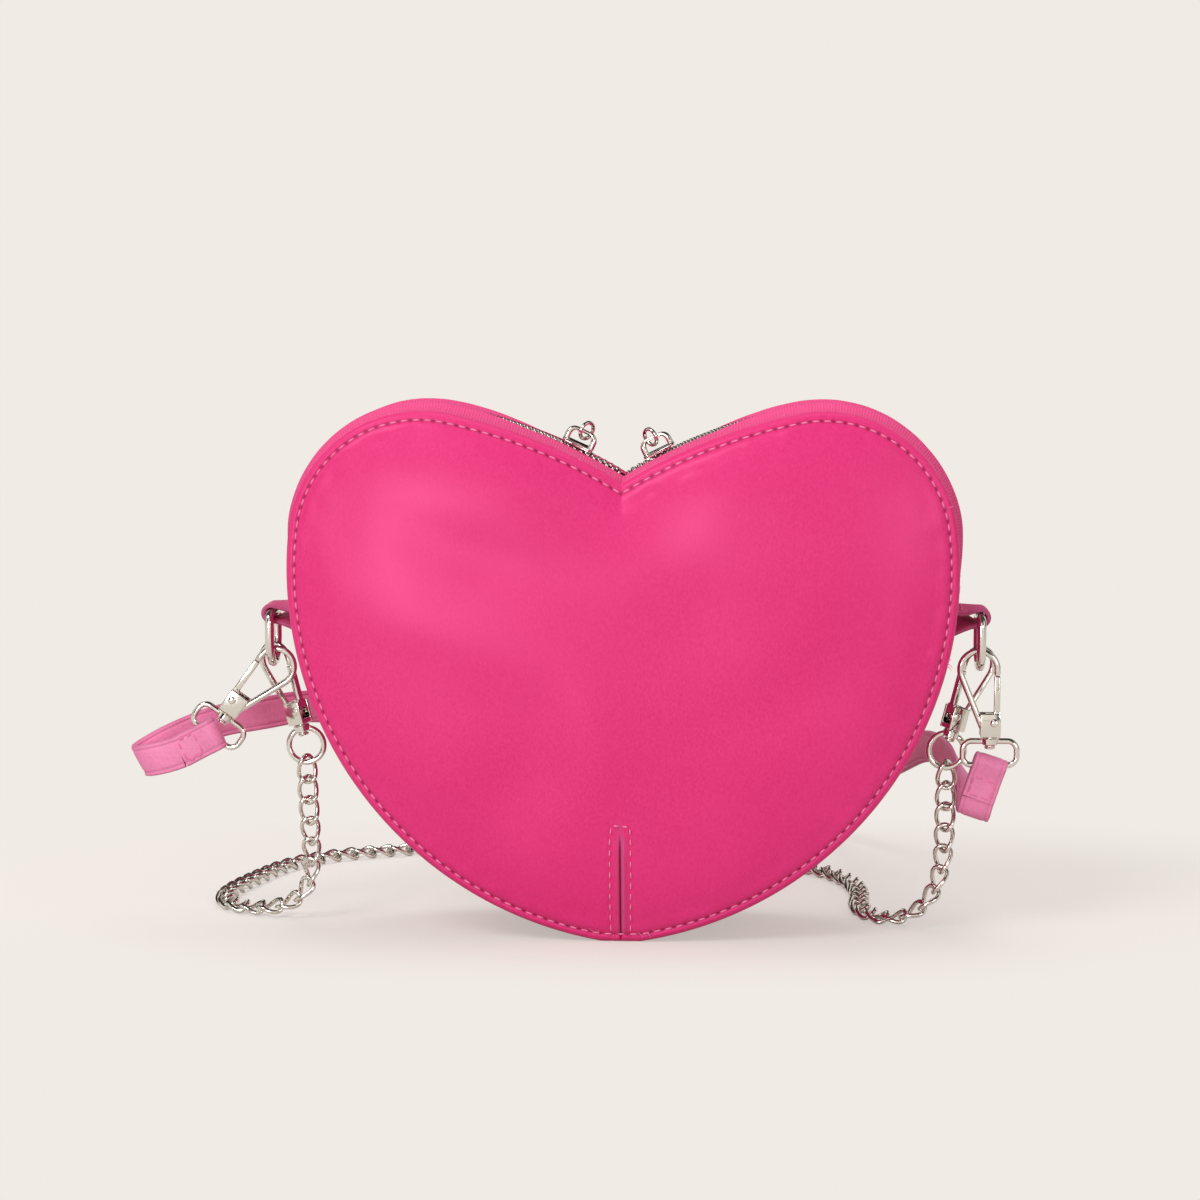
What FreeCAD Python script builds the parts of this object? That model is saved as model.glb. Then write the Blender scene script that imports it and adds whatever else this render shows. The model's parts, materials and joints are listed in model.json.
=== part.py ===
import FreeCAD, Part
import math
import os

os.makedirs("parts", exist_ok=True)

# A heart shaped purse that stands on its tip. The front panel faces -Y, +Z is up and the origin is the
# middle of the flat tip. All lengths are millimetres, all angles degrees.

overrun = 4.0

# Heart outline
heart_width = 200.0
heart_height = 160.0
cleft_height = 138.7
lobe_radius = 40.0
side_radius = 113.0
shoulder_radius = 165.0
tip_half_width = 6.0

# Panels, boards and linings
purse_depth = 45.0
crown_height = 8.0
crown_centre_share = 0.6
dome_scale_shares = (1.0, 0.95, 0.83, 0.64, 0.4, 0.16)
dome_rise_shares = (0.0, 0.24, 0.57, 0.83, 0.96, 1.0)
sheet_rim_share = 0.24
panel_thickness = 1.2
panel_skirt = 2.6
layer_gap = 0.1
board_thickness = 1.6
lining_thickness = 0.6
dart_width = 0.8
dart_depth = 0.7
dart_foot = 2.4
dart_length = 34.0

# Gusset and zip tapes
gusset_thickness = 1.0
gusset_lining_thickness = 0.6
gusset_end_height = 103.0
tape_end_gap = 0.3
tape_thickness = 0.7
tape_edge = 1.35
tape_hem = 1.8
tape_flat = 7.0
ridge_rise = 2.2
mouth_half_length = 16.0
mouth_middle = -2.0
mouth_gape = 3.3

# Zip teeth and end stops
tooth_pitch = 2.2
tooth_length = 1.05
tooth_height = 2.2
tooth_reach = 0.85
tooth_leg = 0.8
tooth_tape_gap = 0.1
tooth_edge_gap = 0.25
first_tooth = 1.9
stop_length = 2.0
stop_half_width = 3.1
stop_gap = 1.0

# Zip sliders and pulls
slider_left_run = 17.0
slider_right_run = 13.0
slider_length = 10.0
slider_nose_width = 10.8
slider_tail_width = 6.8
slider_plate = 0.9
slider_tooth_gap = 0.4
slider_lip = 0.6
slider_lip_gap = 0.3
slider_post_length = 1.6
slider_post_width = 1.1
slider_post_inset = 0.5
slider_corner = 1.2
crown_wire = 1.1
crown_span = 8.2
crown_rise = 3.8
crown_corner = 2.2
pull_wire = 0.9
pull_ring_radius = 2.45
pull_gap = 0.1
pull_lean = 68.0
pull_twist = 40.0

# Side tabs and D-rings
tab_height = 97.0
tab_reach = 8.6
tab_width = 10.4
tab_leather = 1.3
tab_bar_gap = 0.3
tab_join = 2.2
ring_wire = 2.8
ring_half_width = 7.5
ring_limb = 8.0
ring_corner = 2.5

# Snap hooks: the swivel axis is upright, the gate is at +X and the bow at -X
block_width = 6.2
block_height = 7.2
block_depth = 5.0
block_round = 0.7
bow_wire = 2.0
bow_rise = 20.5
bow_radius = 5.6
bow_foot_height = 1.9
bow_foot_inset = 1.1
nose_length = 1.7
gate_width = 1.9
gate_depth = 2.0
gate_inset = 0.15
gate_gap = 0.25
gate_root_height = 7.8
gate_eye_radius = 1.65
slot_wall = 0.75
slot_gap = 0.25
slot_floor = 1.7
slot_left = 2.0
pin_radius = 0.7
pin_fit = 0.06
pin_head_radius = 1.25
pin_head = 0.35
pin_height = 4.4
pin_inset = 1.9
spring_wire = 0.26
spring_radius = 1.0
spring_pitch = 0.7
spring_turns = 1.5
spring_pocket = 1.5
stem_radius = 1.2
stem_fit = 0.2
stem_head_radius = 1.7
stem_head = 0.8
collar_radius = 2.5
collar_height = 2.2
collar_gap = 0.3
collar_play = 0.4
eye_wire = 1.8
eye_radius = 5.4
strap_eye_half_width = 8.2
strap_eye_height = 7.4
strap_eye_corner = 2.8

# Where each hook hangs on its D-ring: side, y, lean, yaw, mirrored, and the ring's place in the hook's loop
strap_hook_y = -3.7
chain_hook_y = 3.7
hook_ring_x = 3.2
hook_ring_height = 21.9
lean_ring_x = 1.5
lean_ring_height = 21.4
strap_lean_left = 36.0
strap_lean_right = 0.0
chain_lean = 14.0
chain_yaw = 34.0

# Chain
link_wire = 1.4
link_length = 9.8
link_width = 6.7
link_twist = 1.2
link_pitch = 6.5
bend_share = 0.45
chain_route = (
    (-98.65, 1.9, 51.95), (-98.3, 2.0, 37.0), (-97.4, 2.6, 23.0), (-97.8, 3.4, 12.0), (-103.5, 4.8, 4.8),
    (-112.8, 6.8, 2.6), (-123.0, 11.5, 1.97), (-129.5, 22.5, 1.97), (-128.5, 38.0, 1.97),
    (-124.0, 55.0, 1.97), (-116.5, 72.0, 1.97), (-104.0, 86.0, 1.97), (-86.0, 95.0, 1.97),
    (-64.0, 104.6, 1.97), (-38.0, 106.3, 1.97), (-12.0, 102.7, 1.97), (16.0, 98.6, 1.97),
    (42.0, 90.0, 1.97), (60.0, 80.0, 1.97), (71.0, 62.0, 1.97), (74.5, 42.0, 1.97), (72.5, 24.0, 1.97),
    (75.0, 11.5, 1.97), (80.5, 4.6, 2.0), (88.0, 1.6, 3.6), (94.2, 1.0, 9.0), (97.6, 1.4, 17.5),
    (98.6, 1.8, 31.0), (98.65, 1.9, 51.95))
chain_face = (
    (0.5, -0.87, 0), (0.05, -1, 0), (-0.45, -0.89, 0), (-0.8, -0.6, 0.1), (-0.7, -0.4, 0.6),
    (-0.2, -0.2, 0.95), (0, 0, 1), (0, 0, 1), (0, 0, 1), (0, 0, 1), (0, 0, 1), (0, 0, 1), (0, 0, 1),
    (0, 0, 1), (0, 0, 1), (0, 0, 1), (0, 0, 1), (0, 0, 1), (0, 0, 1), (0, 0, 1), (0, 0, 1), (0, 0, 1),
    (0, 0, 1), (-0.05, -0.05, 1), (-0.3, -0.2, 0.93), (-0.7, -0.4, 0.6), (-0.8, -0.6, 0.1), (-0.3, -0.95, 0),
    (0.5, -0.87, 0))
chain_drop_links = 8

# Strap: the route's points with the direction of the strap's width at each
strap_width = 10.2
strap_thickness = 1.7
strap_eye_gap = 0.35
strap_fold_length = 11.0
strap_left_route = (
    (-133.66, -3.7, 49.95, 0.81, 0.0, -0.59), (-136.3, -3.7, 46.32, 0.75, 0.0, -0.66),
    (-140.8, -3.3, 44.3, 0.56, 0.0, -0.83), (-145.8, -1.9, 43.8, 0.45, 0.0, -0.89),
    (-149.0, 1.8, 44.0, 0.4, 0.0, -0.92), (-147.4, 6.2, 45.6, 0.42, 0.0, -0.91),
    (-139.0, 9.6, 50.6, 0.45, 0.0, -0.9), (-128.0, 13.4, 57.4, 0.42, 0.0, -0.91),
    (-116.0, 20.0, 62.0, 0.3, 0.0, -0.95), (-103.0, 30.0, 63.5, 0.12, 0.0, -0.99),
    (-89.0, 43.0, 60.0, 0.0, 0.0, -1.0), (-77.0, 59.0, 50.5, 0.0, 0.0, -1.0),
    (-69.0, 76.0, 37.5, 0.0, 0.0, -1.0), (-65.0, 94.0, 23.0, 0.0, 0.0, -1.0),
    (-63.0, 110.0, 11.5, 0.0, 0.0, -1.0), (-57.0, 119.6, 6.4, 0.0, 0.0, -1.0),
    (-53.0, 121.0, 6.2, 0.0, 0.0, -1.0), (-48.05, 121.0, 6.2, 0.0, 0.0, -1.0))
strap_right_route = (
    (48.05, 153.4, 6.2, 0.0, 0.0, -1.0), (54.0, 153.4, 6.2, 0.0, 0.0, -1.0),
    (61.0, 149.5, 7.4, 0.0, 0.0, -1.0), (68.0, 138.0, 11.0, 0.0, 0.0, -1.0),
    (73.0, 121.0, 17.5, 0.0, 0.0, -1.0), (78.0, 102.0, 27.0, 0.0, 0.0, -1.0),
    (83.0, 83.0, 36.0, 0.0, 0.0, -1.0), (89.0, 64.0, 43.0, 0.0, 0.0, -1.0),
    (95.0, 46.0, 46.5, 0.1, 0.0, -0.99), (101.0, 29.5, 46.0, 0.3, -0.1, -0.95),
    (106.0, 16.5, 42.4, 0.62, -0.2, -0.76), (109.2, 8.0, 37.6, 0.88, -0.2, -0.42),
    (110.6, 2.4, 35.0, 0.97, -0.1, -0.2), (111.3, -1.9, 35.0, 1.0, 0.0, 0.0),
    (111.37, -3.7, 37.8, 1.0, 0.0, 0.0), (111.37, -3.7, 40.7, 1.0, 0.0, 0.0))
hank_runs = 7
hank_run_length = 96.0
hank_pitch = 5.4
hank_front = 121.0
hank_lift = 1.1
tie_width = 9.0
tie_gap = 0.3


def vec(x, y, z):
    return FreeCAD.Vector(x, y, z)


def circle_meet(first, first_radius, second, second_radius, side):
    # One of the two points that two circles share, left (1) or right (-1) of the line between them
    dx = second[0] - first[0]
    dz = second[1] - first[1]
    apart = math.hypot(dx, dz)
    along = (first_radius ** 2 - second_radius ** 2 + apart ** 2) / (2 * apart)
    off = side * math.sqrt(first_radius ** 2 - along ** 2)
    return (first[0] + (dx * along - dz * off) / apart, first[1] + (dz * along + dx * off) / apart)


half_depth = purse_depth / 2
lobe_centre = (heart_width / 2 - lobe_radius, heart_height - lobe_radius)
side_centre = circle_meet((tip_half_width, 0), side_radius, lobe_centre, side_radius - lobe_radius, 1)
shoulder_centre = circle_meet((0, cleft_height), shoulder_radius, lobe_centre,
                              shoulder_radius - lobe_radius, -1)
side_end = math.atan2(lobe_centre[1] - side_centre[1], lobe_centre[0] - side_centre[0])
lobe_end = math.atan2(lobe_centre[1] - shoulder_centre[1], lobe_centre[0] - shoulder_centre[0])
crown_centre = heart_height * crown_centre_share
gusset_inset = panel_thickness + layer_gap
tape_middle = gusset_inset + gusset_thickness / 2
track_inset = tape_middle - ridge_rise


def half_arcs(inset):
    # Side, lobe and shoulder of the right half, from the tip to the cleft: centre, radius and two angles
    start = math.asin((inset - side_centre[1]) / (side_radius - inset))
    finish = math.acos(-shoulder_centre[0] / (shoulder_radius - inset))
    return ((side_centre, side_radius - inset, start, side_end),
            (lobe_centre, lobe_radius - inset, side_end, lobe_end),
            (shoulder_centre, shoulder_radius - inset, lobe_end, finish))


def on_arc(arc, angle):
    return (arc[0][0] + arc[1] * math.cos(angle), arc[0][1] + arc[1] * math.sin(angle))


def outline_x(height):
    # Half width of the side arc at a height
    return side_centre[0] + math.sqrt(side_radius ** 2 - (height - side_centre[1]) ** 2)


def heart_wire(inset, scale, y):
    def spot(point, hand):
        return vec(hand * point[0] * scale, y, crown_centre + (point[1] - crown_centre) * scale)

    arcs = half_arcs(inset)
    tip = on_arc(arcs[0], arcs[0][2])
    edges = [Part.LineSegment(spot(tip, -1), spot(tip, 1)).toShape()]
    for hand, ordered in ((1, arcs), (-1, arcs[::-1])):
        for arc in ordered:
            angles = (arc[2], (arc[2] + arc[3]) / 2, arc[3])[::hand]
            edges.append(Part.Arc(*[spot(on_arc(arc, angle), hand) for angle in angles]).toShape())
    return Part.Wire(edges)


def heart_prism(inset, low, high):
    return Part.Face(heart_wire(inset, 1, low)).extrude(vec(0, high - low, 0))


def heart_band(inset, thickness, low, high):
    return heart_prism(inset, low, high).cut(heart_prism(inset + thickness, low - overrun, high + overrun))


def dome(depth):
    # The domed body that lies a given depth under the front panel's face
    wires = []
    for scale, rise in zip(dome_scale_shares, dome_rise_shares):
        wires.append(heart_wire(depth, scale, depth - half_depth - crown_height * rise))
    return Part.makeLoft(wires, True, False)


def box(x0, x1, y0, y1, z0, z1):
    return Part.makeBox(x1 - x0, y1 - y0, z1 - z0, vec(x0, y0, z0))


def rod(radius, length, start, direction):
    return Part.makeCylinder(radius, length, start, direction)


def tube(edges, radius):
    # Round wire swept along joined edges
    path = Part.Wire(edges)
    first = path.OrderedEdges[0]
    start = first.valueAt(first.FirstParameter)
    along = first.tangentAt(first.FirstParameter)
    ring = Part.Wire(Part.makeCircle(radius, start, along))
    return path.makePipeShell([ring], True, False)


def line(a, b):
    return Part.LineSegment(a, b).toShape()


def arc(a, b, c):
    return Part.Arc(a, b, c).toShape()


def biarc(p0, t0, p1, t1):
    # Two tangent arcs from one point and direction to another
    v = p1 - p0
    t = t0 + t1
    denominator = 2 * (1 - t0.dot(t1))
    vt = v.dot(t)
    d = (-vt + math.sqrt(vt * vt + 2 * (1 - t0.dot(t1)) * v.dot(v))) / denominator
    joint = (p0 + p1 + (t0 - t1) * d) * (1 / 2)
    edges = []
    for start, tangent, end in ((p0, t0, joint), (p1, t1 * -1, joint)):
        chord = end - start
        normal = chord - tangent * chord.dot(tangent)
        radius = chord.dot(chord) / (2 * normal.Length)
        across = normal.normalize()
        half = math.atan2(chord.dot(across), chord.dot(tangent))
        middle = start + across * (radius * (1 - math.cos(half))) + tangent * (radius * math.sin(half))
        edges.append((start, middle, end))
    first, second = edges
    return [arc(*first), arc(second[2], second[1], second[0])]


def smooth_tube(points, tangents, radius):
    edges = []
    for i in range(len(points) - 1):
        edges += biarc(points[i], tangents[i], points[i + 1], tangents[i + 1])
    return tube(edges, radius)


def mirrored_x(shape):
    return shape.mirror(vec(0, 0, 0), vec(1, 0, 0))


def mirrored_y(shape):
    return shape.mirror(vec(0, 0, 0), vec(0, 1, 0))


def export(shape, name):
    shape.exportStep("parts/" + name + ".step")


# Panels with a turned edge, and the boards and linings behind them

def panel():
    outer = dome(0).fuse(heart_prism(0, -half_depth, panel_skirt - half_depth))
    hollow = dome(panel_thickness)
    hollow = hollow.fuse(heart_prism(panel_thickness, panel_thickness - half_depth, overrun - half_depth))
    return outer.cut(hollow).removeSplitter()


def sheet(depth, thickness):
    # A layer under the panel that ends where the dome has risen by the sheet's rim
    rim = depth - half_depth - crown_height * sheet_rim_share
    room = box(-heart_width, heart_width, -purse_depth, rim, -overrun, heart_height + overrun)
    return dome(depth).cut(dome(depth + thickness)).common(room)


board_depth = panel_thickness + layer_gap
lining_depth = board_depth + board_thickness + layer_gap
plain_panel = panel()
dart = box(-dart_width / 2, dart_width / 2, -half_depth - crown_height - overrun, -half_depth + overrun,
           dart_foot, dart_foot + dart_length)
export(plain_panel.cut(dart.cut(dome(dart_depth))), "front_panel")
export(mirrored_y(plain_panel), "rear_panel")
for name, piece in (("board", sheet(board_depth, board_thickness)),
                    ("lining", sheet(lining_depth, lining_thickness))):
    export(piece, "front_" + name)
    export(mirrored_y(piece), "rear_" + name)

# Gusset below the tabs, zip tapes above them
band_edge = half_depth - panel_thickness - layer_gap
below = box(-heart_width, heart_width, -purse_depth, purse_depth, -overrun, gusset_end_height)
above_start = gusset_end_height + tape_end_gap
gusset = heart_band(gusset_inset, gusset_thickness, -band_edge, band_edge).common(below)
export(gusset, "lower_gusset")
lining_inset = gusset_inset + gusset_thickness + layer_gap
lining_edge = band_edge - crown_height / 2
export(heart_band(lining_inset, gusset_lining_thickness, -lining_edge, lining_edge).common(below),
       "gusset_lining")


def gape(x):
    # How far the zip's edge stands back from its closed line
    share = (x - mouth_middle) / mouth_half_length
    return mouth_gape * max(0, 1 - share * share)


above = box(-heart_width, heart_width, -purse_depth, purse_depth, above_start, heart_height + overrun)
mouth_edge = Part.Arc(vec(mouth_middle - mouth_half_length, -tape_edge, above_start),
                      vec(mouth_middle, -tape_edge - mouth_gape, above_start),
                      vec(mouth_middle + mouth_half_length, -tape_edge, above_start)).toShape()
mouth_chord = line(vec(mouth_middle + mouth_half_length, -tape_edge, above_start),
                   vec(mouth_middle - mouth_half_length, -tape_edge, above_start))
mouth = Part.Face(Part.Wire([mouth_edge, mouth_chord])).extrude(vec(0, 0, heart_height))


def tape_body(depth, end):
    # The space under the tape: flat at its sewn edge, rising to the zip's ridge and flat again there
    hem = tape_middle - tape_thickness / 2 + depth
    ridge = track_inset - tape_thickness / 2 + depth
    wires = [heart_wire(hem, 1, -band_edge - end), heart_wire(hem, 1, tape_hem - band_edge),
             heart_wire(ridge, 1, -tape_flat), heart_wire(ridge, 1, end - tape_edge)]
    return Part.makeLoft(wires, True, True)


tape = tape_body(0, 0).cut(tape_body(tape_thickness, overrun / 4)).common(above).cut(mouth)
export(tape, "zip_tape_front")
export(mirrored_y(tape), "zip_tape_rear")

# Zip teeth: clamped blocks along the tape's edge, the rear row half a pitch on
track = half_arcs(track_inset)[::-1]


def on_track(run, hand):
    # Place and tilt of the tape's middle line at a run from the cleft
    for spot in track:
        length = spot[1] * abs(spot[3] - spot[2])
        if run <= length or spot is track[-1]:
            angle = spot[3] - run / spot[1]
            point = on_arc(spot, angle)
            return vec(hand * point[0], 0, point[1]), hand * (90 - math.degrees(angle))
        run = run - length


def on_tape(shape, run, hand):
    # A shape made with the track along X and its outside at +Z is laid at a run
    place, tilt = on_track(run, hand)
    turned = shape.copy()
    turned.Placement = FreeCAD.Placement(place, FreeCAD.Rotation(vec(0, 1, 0), tilt))
    return turned, place


def prism_x(points, length):
    ring = [vec(-length / 2, y, z) for y, z in points]
    return Part.Face(Part.makePolygon(ring + ring[:1])).extrude(vec(length, 0, 0))


half_tooth = tooth_height / 2
half_slot = tape_thickness / 2 + tooth_tape_gap
tooth_back = -tape_edge + tooth_edge_gap
tooth = prism_x(((tooth_reach, -half_tooth), (tooth_reach, half_tooth), (tooth_back - tooth_leg, half_tooth),
                 (tooth_back - tooth_leg, half_slot), (tooth_back, half_slot), (tooth_back, -half_slot),
                 (tooth_back - tooth_leg, -half_slot), (tooth_back - tooth_leg, -half_tooth)), tooth_length)
upper_angle = math.asin((above_start - side_centre[1]) / track[-1][1])
track_length = sum(spot[1] * abs(spot[3] - spot[2]) for spot in track[:-1])
track_length = track_length + track[-1][1] * (side_end - upper_angle)
stop_run = track_length - stop_length
last_tooth = stop_run - stop_length / 2 - stop_gap
for name, row, offset in (("front", tooth, 0), ("rear", mirrored_y(tooth), tooth_pitch / 2)):
    way = 1 if name == "rear" else -1
    teeth = []
    for hand in (1, -1):
        count = int((last_tooth - first_tooth - offset) / tooth_pitch)
        for i in range(count + 1):
            laid, place = on_tape(row, first_tooth + offset + i * tooth_pitch, hand)
            laid.translate(vec(0, way * gape(place.x), 0))
            teeth.append(laid)
    export(Part.makeCompound(teeth), "zip_teeth_" + name)
stop_points = [(-stop_half_width, half_tooth), (-stop_half_width, half_slot), (tooth_back, half_slot),
               (tooth_back, -half_slot), (-stop_half_width, -half_slot), (-stop_half_width, -half_tooth)]
stop = prism_x(stop_points + [(-y, z) for y, z in stop_points[::-1]], stop_length)
export(Part.makeCompound([on_tape(stop, stop_run, hand)[0] for hand in (1, -1)]), "zip_end_stops")

# Sliders: two plates with lips, a post between the rows at the nose, a crown on top and a ring in it
plate_low = half_tooth + slider_tooth_gap
plate_high = plate_low + slider_plate
lip_low = tape_thickness / 2 + slider_lip_gap


def slider_slab(low, high, trim):
    # The plate's outline, or with a trim the space between its lips
    nose = slider_nose_width / 2 - trim
    tail = slider_tail_width / 2 - trim
    end = slider_length / 2 + trim
    corner = 0 if trim else slider_corner
    points = [(end, tail), (-end, nose)]
    if corner:
        points = [(end, tail - corner), (end - corner, tail), (corner - end, nose), (-end, nose - corner)]
    ring = [vec(x, y, low) for x, y in points] + [vec(x, -y, low) for x, y in points[::-1]]
    return Part.Face(Part.makePolygon(ring + ring[:1])).extrude(vec(0, 0, high - low))


def slider():
    body = slider_slab(plate_low, plate_high, 0).fuse(slider_slab(-plate_high, -plate_low, 0))
    rim = slider_slab(-plate_high, plate_high, 0).cut(slider_slab(-plate_high, plate_high, slider_lip))
    rim = rim.cut(box(-slider_length, slider_length, -purse_depth, purse_depth, -lip_low, lip_low))
    post_start = slider_post_inset - slider_length / 2
    post = box(post_start, post_start + slider_post_length, -slider_post_width / 2, slider_post_width / 2,
               -plate_low, plate_low)
    half = crown_span / 2
    foot = plate_high - slider_plate / 2
    top = plate_high + crown_rise
    knee = top - crown_corner
    bar = half - crown_corner
    off = crown_corner * (1 - math.sqrt(1 / 2))
    crown = tube([line(vec(-half, 0, foot), vec(-half, 0, knee)),
                  arc(vec(-half, 0, knee), vec(off - half, 0, top - off), vec(-bar, 0, top)),
                  line(vec(-bar, 0, top), vec(bar, 0, top)),
                  arc(vec(bar, 0, top), vec(half - off, 0, top - off), vec(half, 0, knee)),
                  line(vec(half, 0, knee), vec(half, 0, foot))], crown_wire / 2)
    return body.fuse([rim, post, crown]).removeSplitter()


def pull():
    # The ring hangs round the crown's top bar, leaning to the rear and turned across the bar
    lean = math.radians(pull_lean)
    twist = math.radians(pull_twist)
    back = pull_ring_radius * math.cos(twist) - pull_wire / 2 - crown_wire / 2 - pull_gap
    lift = back / math.cos(twist) / math.tan(lean)
    middle = vec(-back * math.tan(twist), back, plate_high + crown_rise + lift)
    return Part.makeTorus(pull_ring_radius, pull_wire / 2, middle, vec(math.cos(twist), math.sin(twist), 0))


for name, run, hand in (("left", slider_left_run, -1), ("right", slider_right_run, 1)):
    for label, piece in (("slider_", slider()), ("pull_", pull())):
        if hand < 0:
            piece = mirrored_x(piece)
        export(on_tape(piece, run, hand)[0], label + name)
    place, tilt = on_track(run, hand)
    turn = FreeCAD.Rotation(vec(0, 1, 0), tilt)
    bar = place + turn.multVec(vec(0, 0, plate_high + crown_rise))
    print("slider", name, "turns about", round(hand * shoulder_centre[0], 3), round(shoulder_centre[1], 3),
          "pull bar", [round(value, 3) for value in bar], [round(value, 5) for value in turn.multVec(vec(1, 0, 0))])

# Tabs and D-rings
bar_x = outline_x(tab_height) + tab_reach


def stadium(radius, start, end, half_length):
    # A slot shape along X round the tab's bar, extruded across the purse
    top = tab_height + radius
    low = tab_height - radius
    y = -half_length
    wire = Part.Wire([line(vec(start, y, low), vec(end, y, low)),
                      arc(vec(end, y, low), vec(end + radius, y, tab_height), vec(end, y, top)),
                      line(vec(end, y, top), vec(start, y, top)),
                      line(vec(start, y, top), vec(start, y, low))])
    return Part.Face(wire).extrude(vec(0, 2 * half_length, 0))


bore = ring_wire / 2 + tab_bar_gap
seat = outline_x(tab_height)
tab = stadium(bore + tab_leather, seat - overrun, bar_x, tab_width / 2)
tab = tab.cut(stadium(bore, seat + tab_join, bar_x, tab_width))
tab = tab.cut(heart_prism(gusset_inset - layer_gap, -purse_depth, purse_depth))
export(tab, "tab_right")
export(mirrored_x(tab), "tab_left")

bar_half = ring_half_width - ring_corner
corner_off = ring_corner * (1 - math.sqrt(1 / 2))


def ring_spot(y, z):
    return vec(bar_x, y, tab_height + z)


d_ring = tube([line(ring_spot(-bar_half, 0), ring_spot(bar_half, 0)),
               arc(ring_spot(bar_half, 0), ring_spot(ring_half_width - corner_off, -corner_off),
                   ring_spot(ring_half_width, -ring_corner)),
               line(ring_spot(ring_half_width, -ring_corner), ring_spot(ring_half_width, -ring_limb)),
               arc(ring_spot(ring_half_width, -ring_limb), ring_spot(0, -ring_limb - ring_half_width),
                   ring_spot(-ring_half_width, -ring_limb)),
               line(ring_spot(-ring_half_width, -ring_limb), ring_spot(-ring_half_width, -ring_corner)),
               arc(ring_spot(-ring_half_width, -ring_corner),
                   ring_spot(corner_off - ring_half_width, -corner_off), ring_spot(-bar_half, 0))],
              ring_wire / 2)
export(d_ring, "d_ring_right")
export(mirrored_x(d_ring), "d_ring_left")

# Snap hook pieces round the upright swivel axis
half_block = block_width / 2
gate_x = half_block - gate_inset - gate_width / 2
pin_x = half_block - pin_inset
slot_half = block_depth / 2 - slot_wall
root_half = slot_half - slot_gap
nose_end = bow_rise - nose_length
collar_top = -collar_gap
collar_low = collar_top - collar_height
head_top = collar_low - collar_play
eye_top = (collar_top + collar_low) / 2


def hook_frame():
    block = box(-half_block, half_block, -block_depth / 2, block_depth / 2, 0, block_height)
    block = block.makeFillet(block_round, block.Edges)
    centre = vec(gate_x - bow_radius, 0, bow_rise)
    foot = vec(bow_foot_inset - half_block, 0, bow_foot_height)
    reach = foot - centre
    turn = math.atan2(reach.z, reach.x) - math.acos(bow_radius / reach.Length)
    touch = centre + vec(math.cos(turn), 0, math.sin(turn)) * bow_radius
    bow = tube([line(foot, touch), arc(touch, centre + vec(0, 0, bow_radius), vec(gate_x, 0, bow_rise)),
                line(vec(gate_x, 0, bow_rise), vec(gate_x, 0, nose_end))], bow_wire / 2)
    stem = rod(stem_radius, overrun / 2 - head_top, vec(0, 0, head_top), vec(0, 0, 1))
    head = rod(stem_head_radius, stem_head, vec(0, 0, head_top - stem_head), vec(0, 0, 1))
    slot = box(slot_left - half_block, block_width, -slot_half, slot_half, slot_floor, block_height + overrun)
    hole = rod(pin_radius + pin_fit, 2 * block_depth, vec(pin_x, -block_depth, pin_height), vec(0, 1, 0))
    return block.cut(slot).fuse([bow, stem.cut(slot), head]).cut(hole)


def hook_gate():
    left = gate_x - gate_width / 2
    right = gate_x + gate_width / 2
    bar = box(left, right, -gate_depth / 2, gate_depth / 2, pin_height, nose_end - gate_gap)
    root = box(left, right, -root_half, root_half, pin_height, gate_root_height)
    eye = rod(gate_eye_radius, 2 * root_half, vec(pin_x, -root_half, pin_height), vec(0, 1, 0))
    pocket = rod(gate_eye_radius + slot_gap, spring_pocket, vec(pin_x, -spring_pocket / 2, pin_height),
                 vec(0, 1, 0))
    hole = rod(pin_radius + pin_fit, 2 * block_depth, vec(pin_x, -block_depth, pin_height), vec(0, 1, 0))
    return bar.fuse([root, eye]).cut(pocket).cut(hole)


def hook_pin():
    half = block_depth / 2
    pin = rod(pin_radius, block_depth, vec(pin_x, -half, pin_height), vec(0, 1, 0))
    heads = [rod(pin_head_radius, pin_head, vec(pin_x, start, pin_height), vec(0, 1, 0))
             for start in (-half - pin_head, half)]
    return pin.fuse(heads)


def hook_spring():
    # A short coil on the pin
    points = []
    tangents = []
    rise = spring_pitch / (2 * math.pi)
    for i in range(int(spring_turns * 4) + 1):
        angle = math.pi / 2 * i
        y = rise * angle - spring_pitch * spring_turns / 2
        points.append(vec(pin_x + spring_radius * math.cos(angle), y,
                          pin_height + spring_radius * math.sin(angle)))
        tangents.append(vec(-spring_radius * math.sin(angle), rise, spring_radius * math.cos(angle)).normalize())
    return smooth_tube(points, tangents, spring_wire / 2)


def hook_eye(with_strap):
    collar = rod(collar_radius, collar_height, vec(0, 0, collar_low), vec(0, 0, 1))
    if with_strap:
        half = strap_eye_half_width
        flat = half - strap_eye_corner
        off = strap_eye_corner * (1 - math.sqrt(1 / 2))
        low = eye_top - strap_eye_height
        edges = []
        for hand, z, way in ((1, eye_top, -1), (-1, low, 1)):
            edges.append(line(vec(-hand * flat, 0, z), vec(hand * flat, 0, z)))
            edges.append(arc(vec(hand * flat, 0, z), vec(hand * (half - off), 0, z + way * off),
                             vec(hand * half, 0, z + way * strap_eye_corner)))
            edges.append(line(vec(hand * half, 0, z + way * strap_eye_corner),
                              vec(hand * half, 0, z + way * (strap_eye_height - strap_eye_corner))))
            edges.append(arc(vec(hand * half, 0, z + way * (strap_eye_height - strap_eye_corner)),
                             vec(hand * (half - off), 0, z + way * (strap_eye_height - off)),
                             vec(hand * flat, 0, z + way * strap_eye_height)))
        ring = tube(edges, eye_wire / 2)
    else:
        ring = Part.makeTorus(eye_radius, eye_wire / 2, vec(0, 0, eye_top - eye_radius), vec(0, 1, 0))
    bore = rod(stem_radius + stem_fit, 2 * collar_height, vec(0, 0, collar_low - collar_height / 2), vec(0, 0, 1))
    return collar.fuse(ring).cut(bore)


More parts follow.
